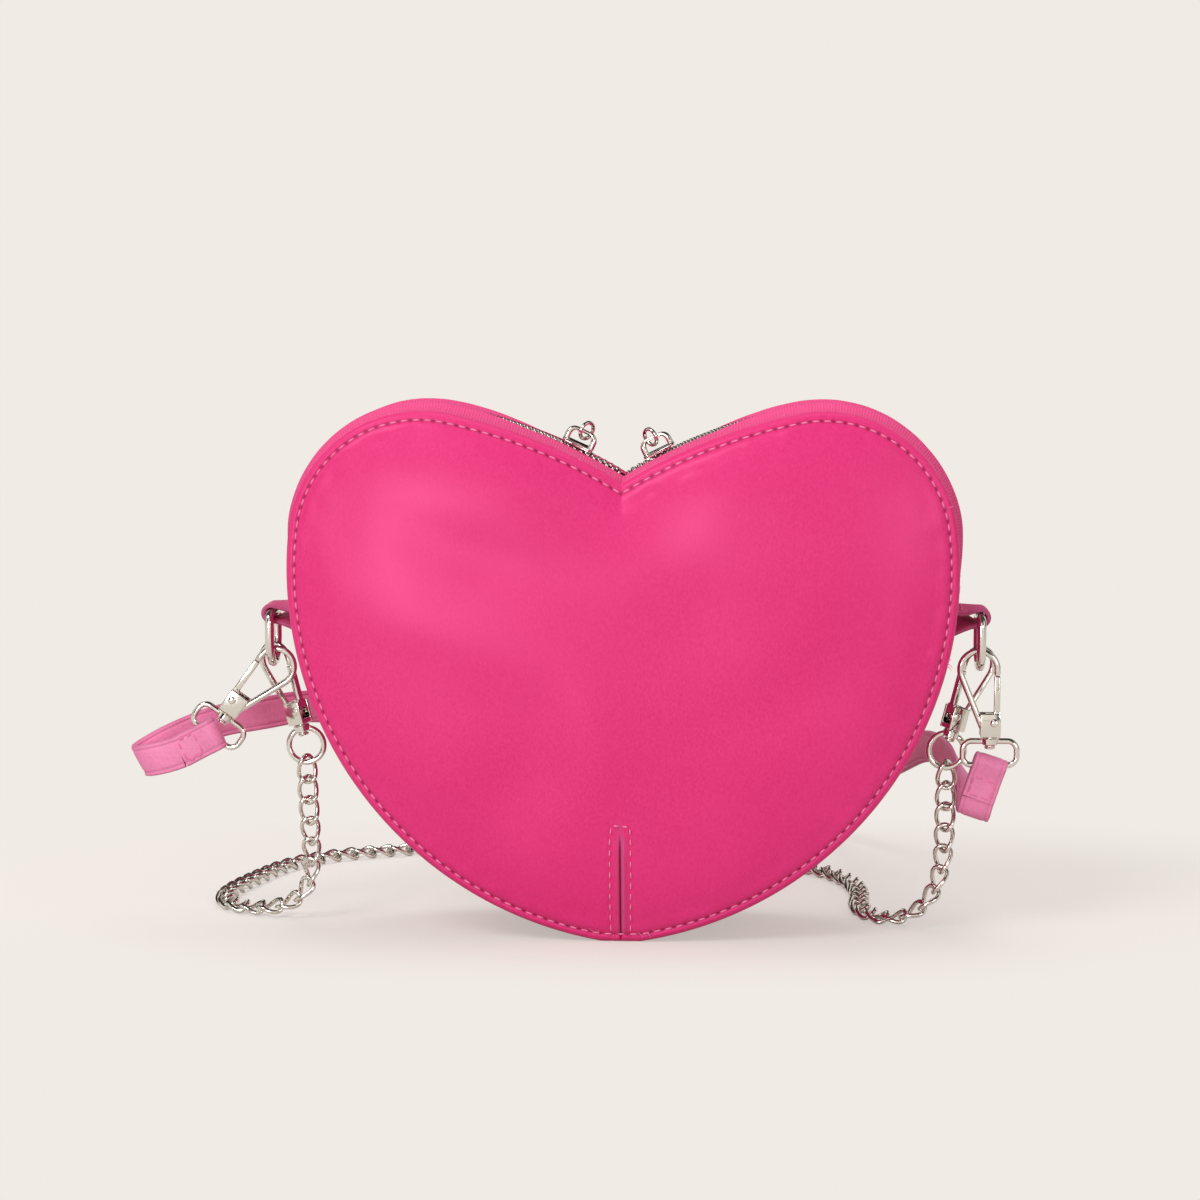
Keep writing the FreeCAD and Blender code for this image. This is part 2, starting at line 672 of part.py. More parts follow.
def ring_centre(y):
    # Middle of the D-ring's wire at a place across it
    return vec(bar_x, y, tab_height - ring_limb - math.sqrt(ring_half_width ** 2 - y ** 2))


frame_piece = hook_frame()
gate_piece = hook_gate()
pin_piece = hook_pin()
spring_piece = hook_spring()
hooks = (("strap_left", -1, strap_hook_y, strap_lean_left, 0, -1, lean_ring_x, lean_ring_height),
         ("strap_right", 1, strap_hook_y, strap_lean_right, 0, 1, -hook_ring_x, hook_ring_height),
         ("chain_left", -1, chain_hook_y, -chain_lean, -chain_yaw, 1, -hook_ring_x, hook_ring_height),
         ("chain_right", 1, chain_hook_y, chain_lean, chain_yaw, -1, hook_ring_x, hook_ring_height))
hook_places = {}
for name, side, y, lean, yaw, hand, ring_x, ring_z in hooks:
    tilt = FreeCAD.Rotation(vec(0, 1, 0), lean)
    turn = tilt.multiply(FreeCAD.Rotation(vec(0, 0, 1), yaw))
    hang = ring_centre(y)
    start = vec(side * hang.x, hang.y, hang.z) - turn.multVec(vec(ring_x, 0, ring_z))
    hook_places[name] = (start, tilt)
    print("hook", name, "swivel at", [round(value, 3) for value in start], "axis",
          [round(value, 5) for value in tilt.multVec(vec(0, 0, 1))], "gate pin",
          [round(value, 3) for value in start + turn.multVec(vec(hand * pin_x, 0, pin_height))],
          [round(value, 5) for value in turn.multVec(vec(0, 1, 0))])
    for label, piece, way in (("hook_frame_", frame_piece, turn), ("hook_gate_", gate_piece, turn),
                              ("hook_pin_", pin_piece, turn), ("hook_spring_", spring_piece, turn),
                              ("swivel_eye_", hook_eye(name.startswith("strap")), tilt)):
        placed = mirrored_x(piece) if hand < 0 else piece.copy()
        placed.Placement = FreeCAD.Placement(start, way).multiply(placed.Placement)
        export(placed, label + name)


# Chain: twisted links along a route of straight runs and tangent arcs

def rounded_route(points):
    # Straight runs and arcs as (start, end) or (centre, start arm, axis, angle), with their lengths
    pieces = []
    last = points[0]
    radii = []
    for i in range(1, len(points) - 1):
        here = points[i]
        back = (points[i - 1] - here).normalize()
        on = (points[i + 1] - here).normalize()
        turn = math.pi - back.getAngle(on)
        shorter = min((points[i - 1] - here).Length, (points[i + 1] - here).Length)
        radius = bend_share * shorter / math.tan(turn / 2)
        cut = bend_share * shorter
        enter = here + back * cut
        leave = here + on * cut
        pieces.append(("run", last, enter, (enter - last).Length))
        centre = here + (back + on).normalize() * math.hypot(cut, radius)
        pieces.append(("arc", centre, enter - centre, (enter - centre).cross(leave - centre).normalize(), turn,
                       radius * turn))
        last = leave
        radii.append(round(radius, 1))
    pieces.append(("run", last, points[-1], (points[-1] - last).Length))
    return pieces, radii


def along_route(pieces, run):
    for piece in pieces:
        if run <= piece[-1] or piece is pieces[-1]:
            if piece[0] == "run":
                return piece[1] + (piece[2] - piece[1]) * (run / piece[-1])
            turned = FreeCAD.Rotation(piece[3], math.degrees(piece[4] * run / piece[-1])).multVec(piece[2])
            return piece[1] + turned
        run = run - piece[-1]


def link():
    long = (link_length - link_wire) / 2
    wide = (link_width - link_wire) / 2
    halves = []
    for start in (0, 4):
        points = []
        tangents = []
        for i in range(start, start + 5):
            t = math.pi / 4 * i
            points.append(vec(long * math.cos(t), wide * math.sin(t), link_twist * math.sin(2 * t)))
            tangents.append(vec(-long * math.sin(t), wide * math.cos(t), 2 * link_twist * math.cos(2 * t)))
        halves.append(smooth_tube(points, [t.normalize() for t in tangents], link_wire / 2))
    return halves[0].fuse(halves[1])


def link_line(place, turn):
    long = (link_length - link_wire) / 2
    wide = (link_width - link_wire) / 2
    points = []
    for i in range(48):
        t = math.pi / 24 * i
        points.append(place + turn.multVec(vec(long * math.cos(t), wide * math.sin(t), link_twist * math.sin(2 * t))))
    return points


route = [vec(*point) for point in chain_route]
chain_pieces, chain_radii = rounded_route(route)
chain_run = sum(piece[-1] for piece in chain_pieces)
print("chain route", round(chain_run, 1), "mm, bend radii", chain_radii)
link_count = int((chain_run - link_length + link_wire) / link_pitch) + 1
marks = [0]
for i in range(len(route) - 1):
    marks.append(marks[-1] + (route[i + 1] - route[i]).Length)
link_start = (link_length - link_wire) / 2
print("chain left over", round(chain_run - link_length + link_wire - (link_count - 1) * link_pitch, 3))
links = []
lines = []
link_piece = link()
for i in range(link_count):
    run = link_start + i * link_pitch
    place = along_route(chain_pieces, run)
    ahead = along_route(chain_pieces, min(run + link_pitch / 2, chain_run))
    behind = along_route(chain_pieces, max(run - link_pitch / 2, 0))
    mark = run / chain_run * marks[-1]
    k = max(j for j in range(len(marks) - 1) if marks[j] <= mark)
    share = (mark - marks[k]) / (marks[k + 1] - marks[k])
    face = vec(*chain_face[k]) * (1 - share) + vec(*chain_face[k + 1]) * share
    heading = (ahead - behind).normalize()
    face = (face - heading * face.dot(heading)).normalize()
    side = face.cross(heading)
    matrix = FreeCAD.Matrix(heading.x, side.x, face.x, 0, heading.y, side.y, face.y, 0,
                            heading.z, side.z, face.z, 0, 0, 0, 0, 1)
    turn = FreeCAD.Placement(matrix).Rotation
    middle = (ahead + behind + place * 2) * (1 / 4)
    laid = link_piece.copy()
    laid.Placement = FreeCAD.Placement(middle, turn)
    links.append(laid)
    lines.append(link_line(middle, turn))
gaps = []
for i in range(link_count - 1):
    gaps.append(min(a.distanceToPoint(b) for a in lines[i] for b in lines[i + 1]) - link_wire)
print("chain links", link_count, "length", round(link_count * link_pitch + link_length - link_pitch, 1),
      "least gap", round(min(gaps), 3), "at link", gaps.index(min(gaps)),
      "lowest", round(min(p.z for points in lines for p in points) - link_wire / 2, 3))
drop = chain_drop_links
export(Part.makeCompound(links[:drop]), "chain_left_drop")
export(Part.makeCompound(links[drop:link_count - drop]), "chain_floor")
export(Part.makeCompound(links[link_count - drop:]), "chain_right_drop")


# Strap: folded and sewn ends round the eyes, free runs and a tied bundle

def strap_end():
    # The fold hangs from the eye's lower bar, in the hook's own frame
    low = eye_top - strap_eye_height
    inner = eye_wire / 2 + strap_eye_gap
    outer = inner + strap_thickness
    half = strap_width / 2
    tongue = strap_thickness
    profile = [line(vec(-half, -tongue, low - strap_fold_length), vec(-half, tongue, low - strap_fold_length)),
               line(vec(-half, tongue, low - strap_fold_length), vec(-half, tongue, low - outer - inner)),
               line(vec(-half, tongue, low - outer - inner), vec(-half, outer, low)),
               arc(vec(-half, outer, low), vec(-half, 0, low + outer), vec(-half, -outer, low)),
               line(vec(-half, -outer, low), vec(-half, -tongue, low - outer - inner)),
               line(vec(-half, -tongue, low - outer - inner), vec(-half, -tongue, low - strap_fold_length))]
    body = Part.Face(Part.Wire(profile)).extrude(vec(strap_width, 0, 0))
    bore = rod(inner, 2 * strap_width, vec(-strap_width, 0, low), vec(1, 0, 0))
    return body.cut(bore)


def strap_run(stations):
    # A ruled loft through cross sections square to the route
    wires = []
    places = [vec(*station[:3]) for station in stations]
    for i, station in enumerate(stations):
        heading = (places[min(i + 1, len(places) - 1)] - places[max(i - 1, 0)]).normalize()
        across = vec(*station[3:])
        across = (across - heading * across.dot(heading)).normalize()
        out = heading.cross(across)
        ring = []
        for a, b in ((1, 1), (1, -1), (-1, -1), (-1, 1)):
            ring.append(places[i] + across * (a * strap_width / 2) + out * (b * strap_thickness / 2))
        wires.append(Part.makePolygon(ring + ring[:1]))
    return Part.makeLoft(wires, True, True)


end_piece = strap_end()
for name in ("left", "right"):
    start, tilt = hook_places["strap_" + name]
    placed = end_piece.copy()
    placed.Placement = FreeCAD.Placement(start, tilt)
    export(placed, "strap_end_" + name)
    foot = start + tilt.multVec(vec(0, 0, eye_top - strap_eye_height - strap_fold_length))
    print("strap end", name, "foot", [round(value, 2) for value in foot])
export(strap_run(strap_left_route), "strap_run_left")
export(strap_run(strap_right_route), "strap_run_right")

half_run = hank_run_length / 2
hank = []
for i in range(hank_runs):
    y = hank_front + i * hank_pitch
    hank.append(box(-half_run, half_run, y - strap_thickness / 2, y + strap_thickness / 2,
                    hank_lift, hank_lift + strap_width))
    if i < hank_runs - 1:
        way = 1 if i % 2 == 0 else -1
        turn_centre = vec(way * half_run, y + hank_pitch / 2, hank_lift)
        ring = rod((hank_pitch + strap_thickness) / 2, strap_width, turn_centre, vec(0, 0, 1))
        ring = ring.cut(rod((hank_pitch - strap_thickness) / 2, strap_width, turn_centre, vec(0, 0, 1)))
        half_space = box(min(way * half_run, 2 * way * half_run), max(way * half_run, 2 * way * half_run),
                         -2 * purse_depth, hank_front * 2, 0, hank_lift + strap_width + overrun)
        hank.append(ring.common(half_space))
export(hank[0].fuse(hank[1:]).removeSplitter(), "strap_hank")
hank_back = hank_front + (hank_runs - 1) * hank_pitch
tie_half = tie_width / 2
skin = strap_thickness / 2 + tie_gap
tie_wall = hank_lift - tie_gap
tie = box(-tie_half, tie_half, hank_front - skin - tie_wall, hank_back + skin + tie_wall,
          0, hank_lift + strap_width + tie_gap + tie_wall)
tie = tie.cut(box(-tie_width, tie_width, hank_front - skin, hank_back + skin,
                  tie_wall, hank_lift + strap_width + tie_gap))
export(tie, "strap_tie")
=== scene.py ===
"""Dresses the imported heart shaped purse: satin, stitching, zip, hooks, chain and strap, and the stage."""
import json
import math

import bmesh
import bpy
import numpy as np
from mathutils import Matrix, Vector, noise
from mathutils.bvhtree import BVHTree


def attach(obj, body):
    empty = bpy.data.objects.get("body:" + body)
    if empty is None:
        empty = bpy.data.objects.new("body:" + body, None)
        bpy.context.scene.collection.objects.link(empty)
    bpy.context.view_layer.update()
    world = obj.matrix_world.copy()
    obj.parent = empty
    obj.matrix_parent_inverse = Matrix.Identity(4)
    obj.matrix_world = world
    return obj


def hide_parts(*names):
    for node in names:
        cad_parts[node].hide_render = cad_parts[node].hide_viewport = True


bl_info = {
    "name": "Heart shaped purse",
    "version": (1, 0, 0),
    "blender": (4, 5, 0),
    "location": "3D View > Sidebar > Purse",
    "description": "Builds the soft goods, metal ware and stage of a heart shaped purse on its packed frame",
    "category": "Object",
}

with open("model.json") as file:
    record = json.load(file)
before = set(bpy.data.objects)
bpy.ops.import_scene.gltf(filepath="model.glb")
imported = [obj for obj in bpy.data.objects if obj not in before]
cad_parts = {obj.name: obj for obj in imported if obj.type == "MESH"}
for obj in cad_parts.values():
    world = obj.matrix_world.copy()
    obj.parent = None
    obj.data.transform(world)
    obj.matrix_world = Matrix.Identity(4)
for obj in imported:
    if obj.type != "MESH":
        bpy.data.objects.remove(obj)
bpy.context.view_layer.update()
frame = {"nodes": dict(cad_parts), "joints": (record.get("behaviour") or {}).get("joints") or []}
joints = {joint["name"]: joint for joint in frame["joints"]}

# All shapes are worked out in millimetres and scaled to metres when a piece is finished
MM = 0.001
X, Y, Z = Vector((1, 0, 0)), Vector((0, 1, 0)), Vector((0, 0, 1))

# The heart's outline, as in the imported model
HEART_WIDTH = 200.0
HEART_HEIGHT = 160.0
CLEFT_HEIGHT = 138.7
LOBE_RADIUS = 40.0
SIDE_RADIUS = 113.0
SHOULDER_RADIUS = 165.0
TIP_HALF_WIDTH = 6.0
HALF_DEPTH = 22.5
CROWN_CENTRE = 96.0
# Gusset, zip, tabs and hooks
GUSSET_INSET = 1.3
GUSSET_TOP = 103.0
GUSSET_HALF = 21.0
GUSSET_CENTRE = 60.0
GUSSET_STITCHES = 16.6
TAPE_MIDDLE = 1.8
TAPE_LOW = GUSSET_TOP + 0.3
TAPE_OUTER = 21.2
TAPE_INNER = 1.35
TAPE_HEM = 19.4
TAPE_FLAT = 7.0
TRACK_INSET = -0.4
TOOTH_PITCH = 2.2
MOUTH_MIDDLE = -2.0
MOUTH_HALF_LENGTH = 16.0
MOUTH_GAPE = 3.3
TAB_HEIGHT = 97.0
TAB_WIDTH = 10.4
TAB_UPPER = ((99.0, 99.9), (101.0, 99.85), (103.0, 99.7), (104.8, 99.55), (106.6, 99.4))
TAB_LOWER = ((106.6, 94.5), (104.8, 94.0), (103.0, 93.3), (101.0, 92.4), (98.6, 91.3))
BAR_X = 108.168
GATE_X = 2.0
GATE_PIN = Vector((1.2, 0, 4.4))
EYE_TOP = -1.4

# Routes of the chain and the strap, with the way their faces and widths point
CHAIN_ROUTE = (
    (-98.65, 1.9, 51.95), (-98.3, 2.0, 37.0), (-97.4, 2.6, 23.0), (-97.8, 3.4, 12.0), (-103.5, 4.8, 4.8),
    (-112.8, 6.8, 2.6), (-123.0, 11.5, 1.97), (-129.5, 22.5, 1.97), (-128.5, 38.0, 1.97),
    (-124.0, 55.0, 1.97), (-117.0, 77.0, 1.97), (-104.5, 92.0, 1.97), (-86.0, 101.5, 1.97),
    (-64.0, 109.0, 1.97), (-38.0, 109.0, 1.97), (-12.0, 102.7, 1.97), (16.0, 98.6, 1.97),
    (42.0, 90.0, 1.97), (60.0, 80.0, 1.97), (71.0, 62.0, 1.97), (74.5, 42.0, 1.97), (72.5, 24.0, 1.97),
    (75.0, 11.5, 1.97), (80.5, 4.6, 2.0), (88.0, 1.6, 3.6), (94.2, 1.0, 9.0), (97.6, 1.4, 17.5),
    (98.6, 1.8, 31.0), (98.65, 1.9, 51.95))
CHAIN_FACE = (
    (0.5, -0.87, 0), (0.05, -1, 0), (-0.45, -0.89, 0), (-0.8, -0.6, 0.1), (-0.7, -0.4, 0.6),
    (-0.2, -0.2, 0.95), *((0, 0, 1),) * 17, (-0.05, -0.05, 1), (-0.3, -0.2, 0.93), (-0.7, -0.4, 0.6),
    (-0.8, -0.6, 0.1), (-0.3, -0.95, 0), (0.5, -0.87, 0))
STRAP_LEFT = (
    (-136.9, -3.7, 53.7), (-140.5, -3.7, 52.4), (-144.8, -3.4, 51.3), (-148.8, -2.3, 50.5),
    (-150.6, -0.2, 50.5), (-148.6, 2.2, 52.0), (-141.0, 5.8, 56.2), (-128.0, 12.4, 61.2),
    (-116.0, 20.0, 62.0), (-103.0, 30.0, 63.5), (-89.0, 43.0, 60.0), (-77.0, 59.0, 50.5),
    (-69.0, 76.0, 37.5), (-65.0, 94.0, 23.0), (-63.0, 110.0, 11.5), (-57.0, 119.6, 6.4), (-53.0, 121.0, 6.2))
STRAP_RIGHT = (
    (54.0, 153.4, 6.2), (61.0, 149.5, 7.4), (68.0, 138.0, 11.0), (73.0, 121.0, 17.5), (78.0, 102.0, 27.0),
    (83.0, 83.0, 36.0), (89.0, 64.0, 43.0), (95.0, 46.0, 50.0), (101.0, 29.5, 50.0), (105.0, 16.5, 46.4),
    (106.6, 8.0, 40.6), (106.6, 2.4, 36.4), (106.7, -1.9, 35.6), (107.2, -3.7, 38.4), (107.97, -3.7, 41.24))
# The strap's width points straight down between these first and last knots
STRAP_FIRST_WAYS = (
    (0.47, 0, -0.88), (0.45, 0, -0.89), (0.44, 0, -0.9), (0.44, 0, -0.9), (0.46, 0, -0.89), (0.48, 0, -0.88),
    (0.48, 0, -0.88), (0.42, 0, -0.91), (0.3, 0, -0.95), (0.12, 0, -0.99))
STRAP_LAST_WAYS = (
    (0.1, 0, -0.99), (0.3, -0.1, -0.95), (0.55, -0.2, -0.8), (0.82, -0.2, -0.5), (0.93, -0.1, -0.33),
    (0.95, 0, -0.31), (0.95, 0, -0.31), (0.95, 0, -0.31))
HANK_RUNS = 7
HANK_PITCH = 5.4
HANK_FRONT = 121.0
HANK_HEIGHT = 6.2
HANK_HALF = 47.0
HANK_TURNS = (51.2, 50.4, 51.4, 51.0, 50.6, 51.5)


def srgb(code):
    """Linear colour of an sRGB hex value."""
    parts = [int(code[i:i + 2], 16) / 255 for i in (0, 2, 4)]
    return tuple(c / 12.92 if c <= 0.04045 else ((c + 0.055) / 1.055) ** 2.4 for c in parts)


def length(name, about, metres):
    return bpy.props.FloatProperty(name=name, description=about, default=metres, unit="LENGTH")


def colour(name, about, code):
    return bpy.props.FloatVectorProperty(name=name, description=about, subtype="COLOR", default=srgb(code))


class PurseSizes(bpy.types.PropertyGroup):
    """Sizes of the dressed pieces that a user may change."""
    crown: length("Crown", "How far a panel domes out", 0.0088)
    stitch_inset: length("Stitch inset", "Top stitching's distance from the edge", 0.0026)
    stitch_pitch: length("Stitch pitch", "Length of one stitch", 0.0036)
    thread: length("Thread", "Width of the sewing thread", 0.0006)
    strap_width: length("Strap width", "Width of the leather strap", 0.0102)
    strap_thickness: length("Strap thickness", "Thickness of the leather strap", 0.0017)
    link_wire: length("Link wire", "Wire of the chain's links", 0.0014)
    link_length: length("Link length", "Outer length of a link", 0.0098)
    link_width: length("Link width", "Outer width of a link", 0.0067)
    links: bpy.props.IntProperty(name="Links", description="Links in the chain", default=71, min=2)


class PurseColours(bpy.types.PropertyGroup):
    """Colours of the finishes."""
    satin: colour("Satin", "Satin in plain light", "E22C75")
    satin_bright: colour("Bright satin", "Satin threads that catch the light", "EE4186")
    thread: colour("Thread", "Sewing thread", "F884B6")
    tape: colour("Zip tape", "Woven zip tape", "F8528F")
    tab: colour("Tab leather", "Leather of the side tabs", "DC5A90")
    strap: colour("Strap leather", "Leather of the strap", "F98CBA")
    nickel: colour("Nickel", "Bright nickel plate", "E2DED6")
    ground: colour("Ground", "Floor and backdrop", "F0EBE5")


def size_of(name):
    """One of the sizes in millimetres."""
    return getattr(bpy.context.scene.purse_sizes, name) / MM


def colours():
    return bpy.context.scene.purse_colours


# Materials

def add(tree, kind, out=0, **values):
    """Adds a shader node and returns one of its outputs, or the node itself if out is None. A value whose key
    is a setting of the node is set. The others go to the input of that name, with _ for a space, or of that
    number, as i0: sockets are linked, and colours may be hex values."""
    made = tree.nodes.new("ShaderNode" + kind)
    for key, value in values.items():
        if hasattr(made, key):
            setattr(made, key, value)
            continue
        socket = made.inputs[int(key[1:]) if key[1:].isdigit() else key.replace("_", " ")]
        if isinstance(value, bpy.types.NodeSocket):
            tree.links.new(value, socket)
        elif socket.type == "RGBA":
            socket.default_value = (*(srgb(value) if isinstance(value, str) else value), 1.0)
        else:
            socket.default_value = value
    return made if out is None else made.outputs[out]


def mix(tree, share, first, second):
    return add(tree, "Mix", 2, data_type="RGBA", i0=share, i6=first, i7=second)


def calc(tree, operation, *values):
    return add(tree, "Math", operation=operation, **{f"i{k}": value for k, value in enumerate(values)})


def fit(tree, value, low, high, to_low=0.0, to_high=1.0, **settings):
    return add(tree, "MapRange", Value=value, From_Min=low, From_Max=high, To_Min=to_low, To_Max=to_high,
               **settings)


def per_metre(millimetres):
    """Texture scale that makes one period this long."""
    return 1 / (millimetres * MM)


def patches(tree, place, millimetres, detail, rough=0.5):
    """Noise with patches of about this size."""
    return add(tree, "TexNoise", Vector=place, Scale=per_metre(millimetres), Detail=detail, Roughness=rough)


def painted(tree, name):
    """A value kept on the vertices."""
    return add(tree, "Attribute", "Fac", attribute_name=name)


def toned(shade, factor):
    return [min(1, c * factor) for c in shade]


def finish(name):
    """Turns a function that builds a shader into one that gives the material of this name."""
    def wrap(build):
        def get():
            made = bpy.data.materials.get(name)
            if made is None:
                made = bpy.data.materials.new(name)
                made.use_nodes = True
                made.node_tree.nodes.clear()
                add(made.node_tree, "OutputMaterial", None, Surface=build(made.node_tree))
            return made
        return get
    return wrap


@finish("woven_polyester_satin")
def woven_satin(tree):
    """Polyester satin: long floating threads give a soft broad gloss and a fine upright grain; shade in the
    holes and folds at the seams and in the dart's slit is painted darker, and cut edges fray to a dull pink."""
    place = add(tree, "TexCoord", "Object")
    # Threads lie 0.1 mm apart; they are drawn 0.6 mm apart so that the grain shows in the picture
    grain = patches(tree, add(tree, "Mapping", Vector=place, Scale=(1.0, 1.0, 0.6)), 0.6, 3.0, 0.65)
    weft = patches(tree, place, 1.1, 2.0)
    speck = calc(tree, "MULTIPLY", grain, 0.65)
    shade = calc(tree, "MULTIPLY_ADD", patches(tree, place, 38, 2.0), 0.35, speck)
    plain = mix(tree, fit(tree, shade, 0.3, 0.72), colours().satin, colours().satin_bright)
    # Painted shade: the needle holes, the folds along the stitched seams and the dart's slit are darkened to
    # deep crimson
    dark = mix(tree, painted(tree, "seam_shade"), plain, "8E0E42")
    worn = mix(tree, painted(tree, "fray"), dark, "BC5A88")
    threads = calc(tree, "MULTIPLY_ADD", weft, 0.4, grain)
    bump = add(tree, "Bump", Height=threads, Strength=0.2, Distance=0.00012)
    return add(tree, "BsdfPrincipled", Base_Color=worn, Roughness=fit(tree, grain, 0.3, 0.7, 0.31, 0.41),
               Normal=bump, Sheen_Weight=0.1, Sheen_Roughness=0.35, Sheen_Tint="FF86B8",
               Specular_IOR_Level=0.6, Specular_Tint="FF9CC8")


@finish("twisted_polyester_thread")
def sewing_thread(tree):
    """Twisted polyester thread: two plies show as fine slanted ridges with a slight gloss."""
    ply = add(tree, "TexWave", "Fac", bands_direction="DIAGONAL", Vector=add(tree, "TexCoord", "Object"),
              Scale=per_metre(0.5) / 10, Distortion=0.6)
    tone = mix(tree, ply, toned(colours().thread, 0.86), colours().thread)
    bump = add(tree, "Bump", Height=ply, Strength=0.4, Distance=0.0001)
    return add(tree, "BsdfPrincipled", Base_Color=tone, Roughness=0.45, Normal=bump, Sheen_Weight=0.3,
               Sheen_Tint="FFD0E2")


@finish("ribbed_woven_zip_tape")
def woven_tape(tree):
    """Woven polyester zip tape: close ribs across its length, slightly lighter and duller than the satin."""
    spot = add(tree, "CombineXYZ", X=painted(tree, "run"), Y=painted(tree, "across"))
    # The ribs are 0.55 mm apart on such tape and are drawn 0.9 mm apart to show
    ribs, picks = [add(tree, "TexWave", "Fac", bands_direction=way, Vector=spot, Scale=scale, Distortion=bend,
                       Detail=1.0) for way, scale, bend in (("X", 0.35, 1.2), ("Y", 0.42, 1.5))]
    weave = calc(tree, "MULTIPLY_ADD", ribs, 0.5, calc(tree, "MULTIPLY", picks, 0.5))
    tone = mix(tree, weave, toned(colours().tape, 0.8), toned(colours().tape, 1.15))
    bump = add(tree, "Bump", Height=weave, Strength=0.7, Distance=0.0003)
    return add(tree, "BsdfPrincipled", Base_Color=tone, Roughness=0.68, Normal=bump, Sheen_Weight=0.1,
               Sheen_Tint="FF6FA8", Specular_IOR_Level=0.25)


def grained_leather(tree, hide, pebble):
    """Coated split leather: small rounded pebbles between fine creases, a soft gloss, and edges a little
    darker."""
    place = add(tree, "TexCoord", "Object")
    cells = add(tree, "TexVoronoi", "Distance", feature="SMOOTH_F1", Vector=place, Scale=per_metre(pebble),
                Smoothness=0.6)
    fine = patches(tree, place, 0.6, 3.0)
    tone = calc(tree, "MULTIPLY_ADD", cells, 0.4, patches(tree, place, 14, 2.0))
    body = mix(tree, fit(tree, tone, 0.35, 1.0), toned(hide, 1.08), toned(hide, 0.84))
    shade = mix(tree, painted(tree, "edge"), body, toned(hide, 0.55))
    height = calc(tree, "MULTIPLY_ADD", fine, 0.35, cells)
    bump = add(tree, "Bump", invert=True, Height=height, Strength=0.3, Distance=0.0002)
    return add(tree, "BsdfPrincipled", Base_Color=shade, Roughness=fit(tree, fine, 0.3, 0.7, 0.42, 0.58),
               Normal=bump, Specular_IOR_Level=0.45)


@finish("smooth_coated_leather")
def tab_leather(tree):
    return grained_leather(tree, colours().tab, 0.9)


@finish("grained_coated_leather")
def strap_leather(tree):
    return grained_leather(tree, colours().strap, 0.75)


def plated_metal(tree, plate, smooth, dull):
    """Nickel on cast zinc and steel wire: a warm white mirror with faint polishing marks and soft wear."""
    marks = patches(tree, add(tree, "TexCoord", "Object"), 1.4, 4.0, 0.7)
    bump = add(tree, "Bump", Height=marks, Strength=0.05, Distance=0.0001)
    return add(tree, "BsdfPrincipled", Base_Color=mix(tree, marks, plate, toned(plate, 0.9)), Metallic=1.0,
               Roughness=fit(tree, marks, 0.35, 0.7, smooth, dull), Normal=bump)


@finish("bright_nickel_plate")
def nickel_plate(tree):
    return plated_metal(tree, colours().nickel, 0.06, 0.15)


@finish("dull_nickel_teeth")
def tooth_metal(tree):
    return plated_metal(tree, srgb("C6C1B9"), 0.14, 0.26)


@finish("drawn_spring_steel")
def spring_wire(tree):
    """Drawn spring steel: a greyer metal with fine marks of the drawing."""
    marks = patches(tree, add(tree, "TexCoord", "Object"), 0.3, 2.0)
    return add(tree, "BsdfPrincipled", Base_Color="A9A7A5", Metallic=1.0,
               Roughness=fit(tree, marks, 0.0, 1.0, 0.2, 0.4))


@finish("pressed_fibre_board")
def stiff_board(tree):
    """Pressed fibre board: a plain pale sheet with a mottled, dry surface."""
    fibres = patches(tree, add(tree, "TexCoord", "Object"), 2.5, 5.0)
    return add(tree, "BsdfPrincipled", Base_Color=mix(tree, fibres, "D8D0C2", "C4B9A8"), Roughness=0.85)


@finish("plain_woven_lining")
def plain_lining(tree):
    """Plain woven lining: an even over-and-under weave of dull deep pink."""
    place = add(tree, "TexCoord", "Object")
    # Threads lie 0.3 mm apart and are drawn 0.8 mm apart to show
    weave = calc(tree, "MULTIPLY", *[add(tree, "TexWave", "Fac", bands_direction=way, Vector=place,
                                         Scale=per_metre(0.8) / 20) for way in "XZ"])
    bump = add(tree, "Bump", Height=weave, Strength=0.4, Distance=0.0002)
    return add(tree, "BsdfPrincipled", Base_Color=mix(tree, weave, "A82458", "C93C73"), Roughness=0.75,
               Normal=bump)


@finish("matt_paper")
def matt_paper(tree):
    """Matt paper: partly even in the picture, so that it keeps only a soft shadow."""
    path = add(tree, "LightPath", None).outputs
    unseen = mix(tree, path["Is Glossy Ray"], "A8A19B", "E9E5DE")
    sheet = mix(tree, path["Is Camera Ray"], unseen, colours().ground)
    narrow = add(tree, "Mapping", Vector=add(tree, "TexCoord", "Object"), Scale=(0.4, 1.0, 1.0))
    apart = add(tree, "VectorMath", "Value", operation="DISTANCE", i0=narrow, i1=(0.0, 0.06, 0.0))
    share = fit(tree, apart, 0.075, 0.15, 0.5, 1.0, interpolation_type="SMOOTHSTEP")
    return add(tree, "MixShader", i0=calc(tree, "MULTIPLY", path["Is Camera Ray"], share),
               i1=add(tree, "BsdfDiffuse", Color=sheet),
               i2=add(tree, "Emission", Color=colours().ground, Strength=1.0))


# Mesh helpers

def clamp(value):
    return min(1.0, max(0.0, value))


def ease(value):
    """A smooth step from 0 to 1."""
    value = clamp(value)
    return value * value * (3 - 2 * value)


def bell(value, middle, width):
    return math.exp(-((value - middle) / width) ** 2)


def waver(x, y, z):
    return noise.noise(Vector((x, y, z)))


def pairs(items, closed):
    """Neighbours in a row or ring."""
    return list(zip(items, items[1:] + items[:1] if closed else items[1:]))


def float_layers(bm, *names):
    return [bm.verts.layers.float.get(name) or bm.verts.layers.float.new(name) for name in names]


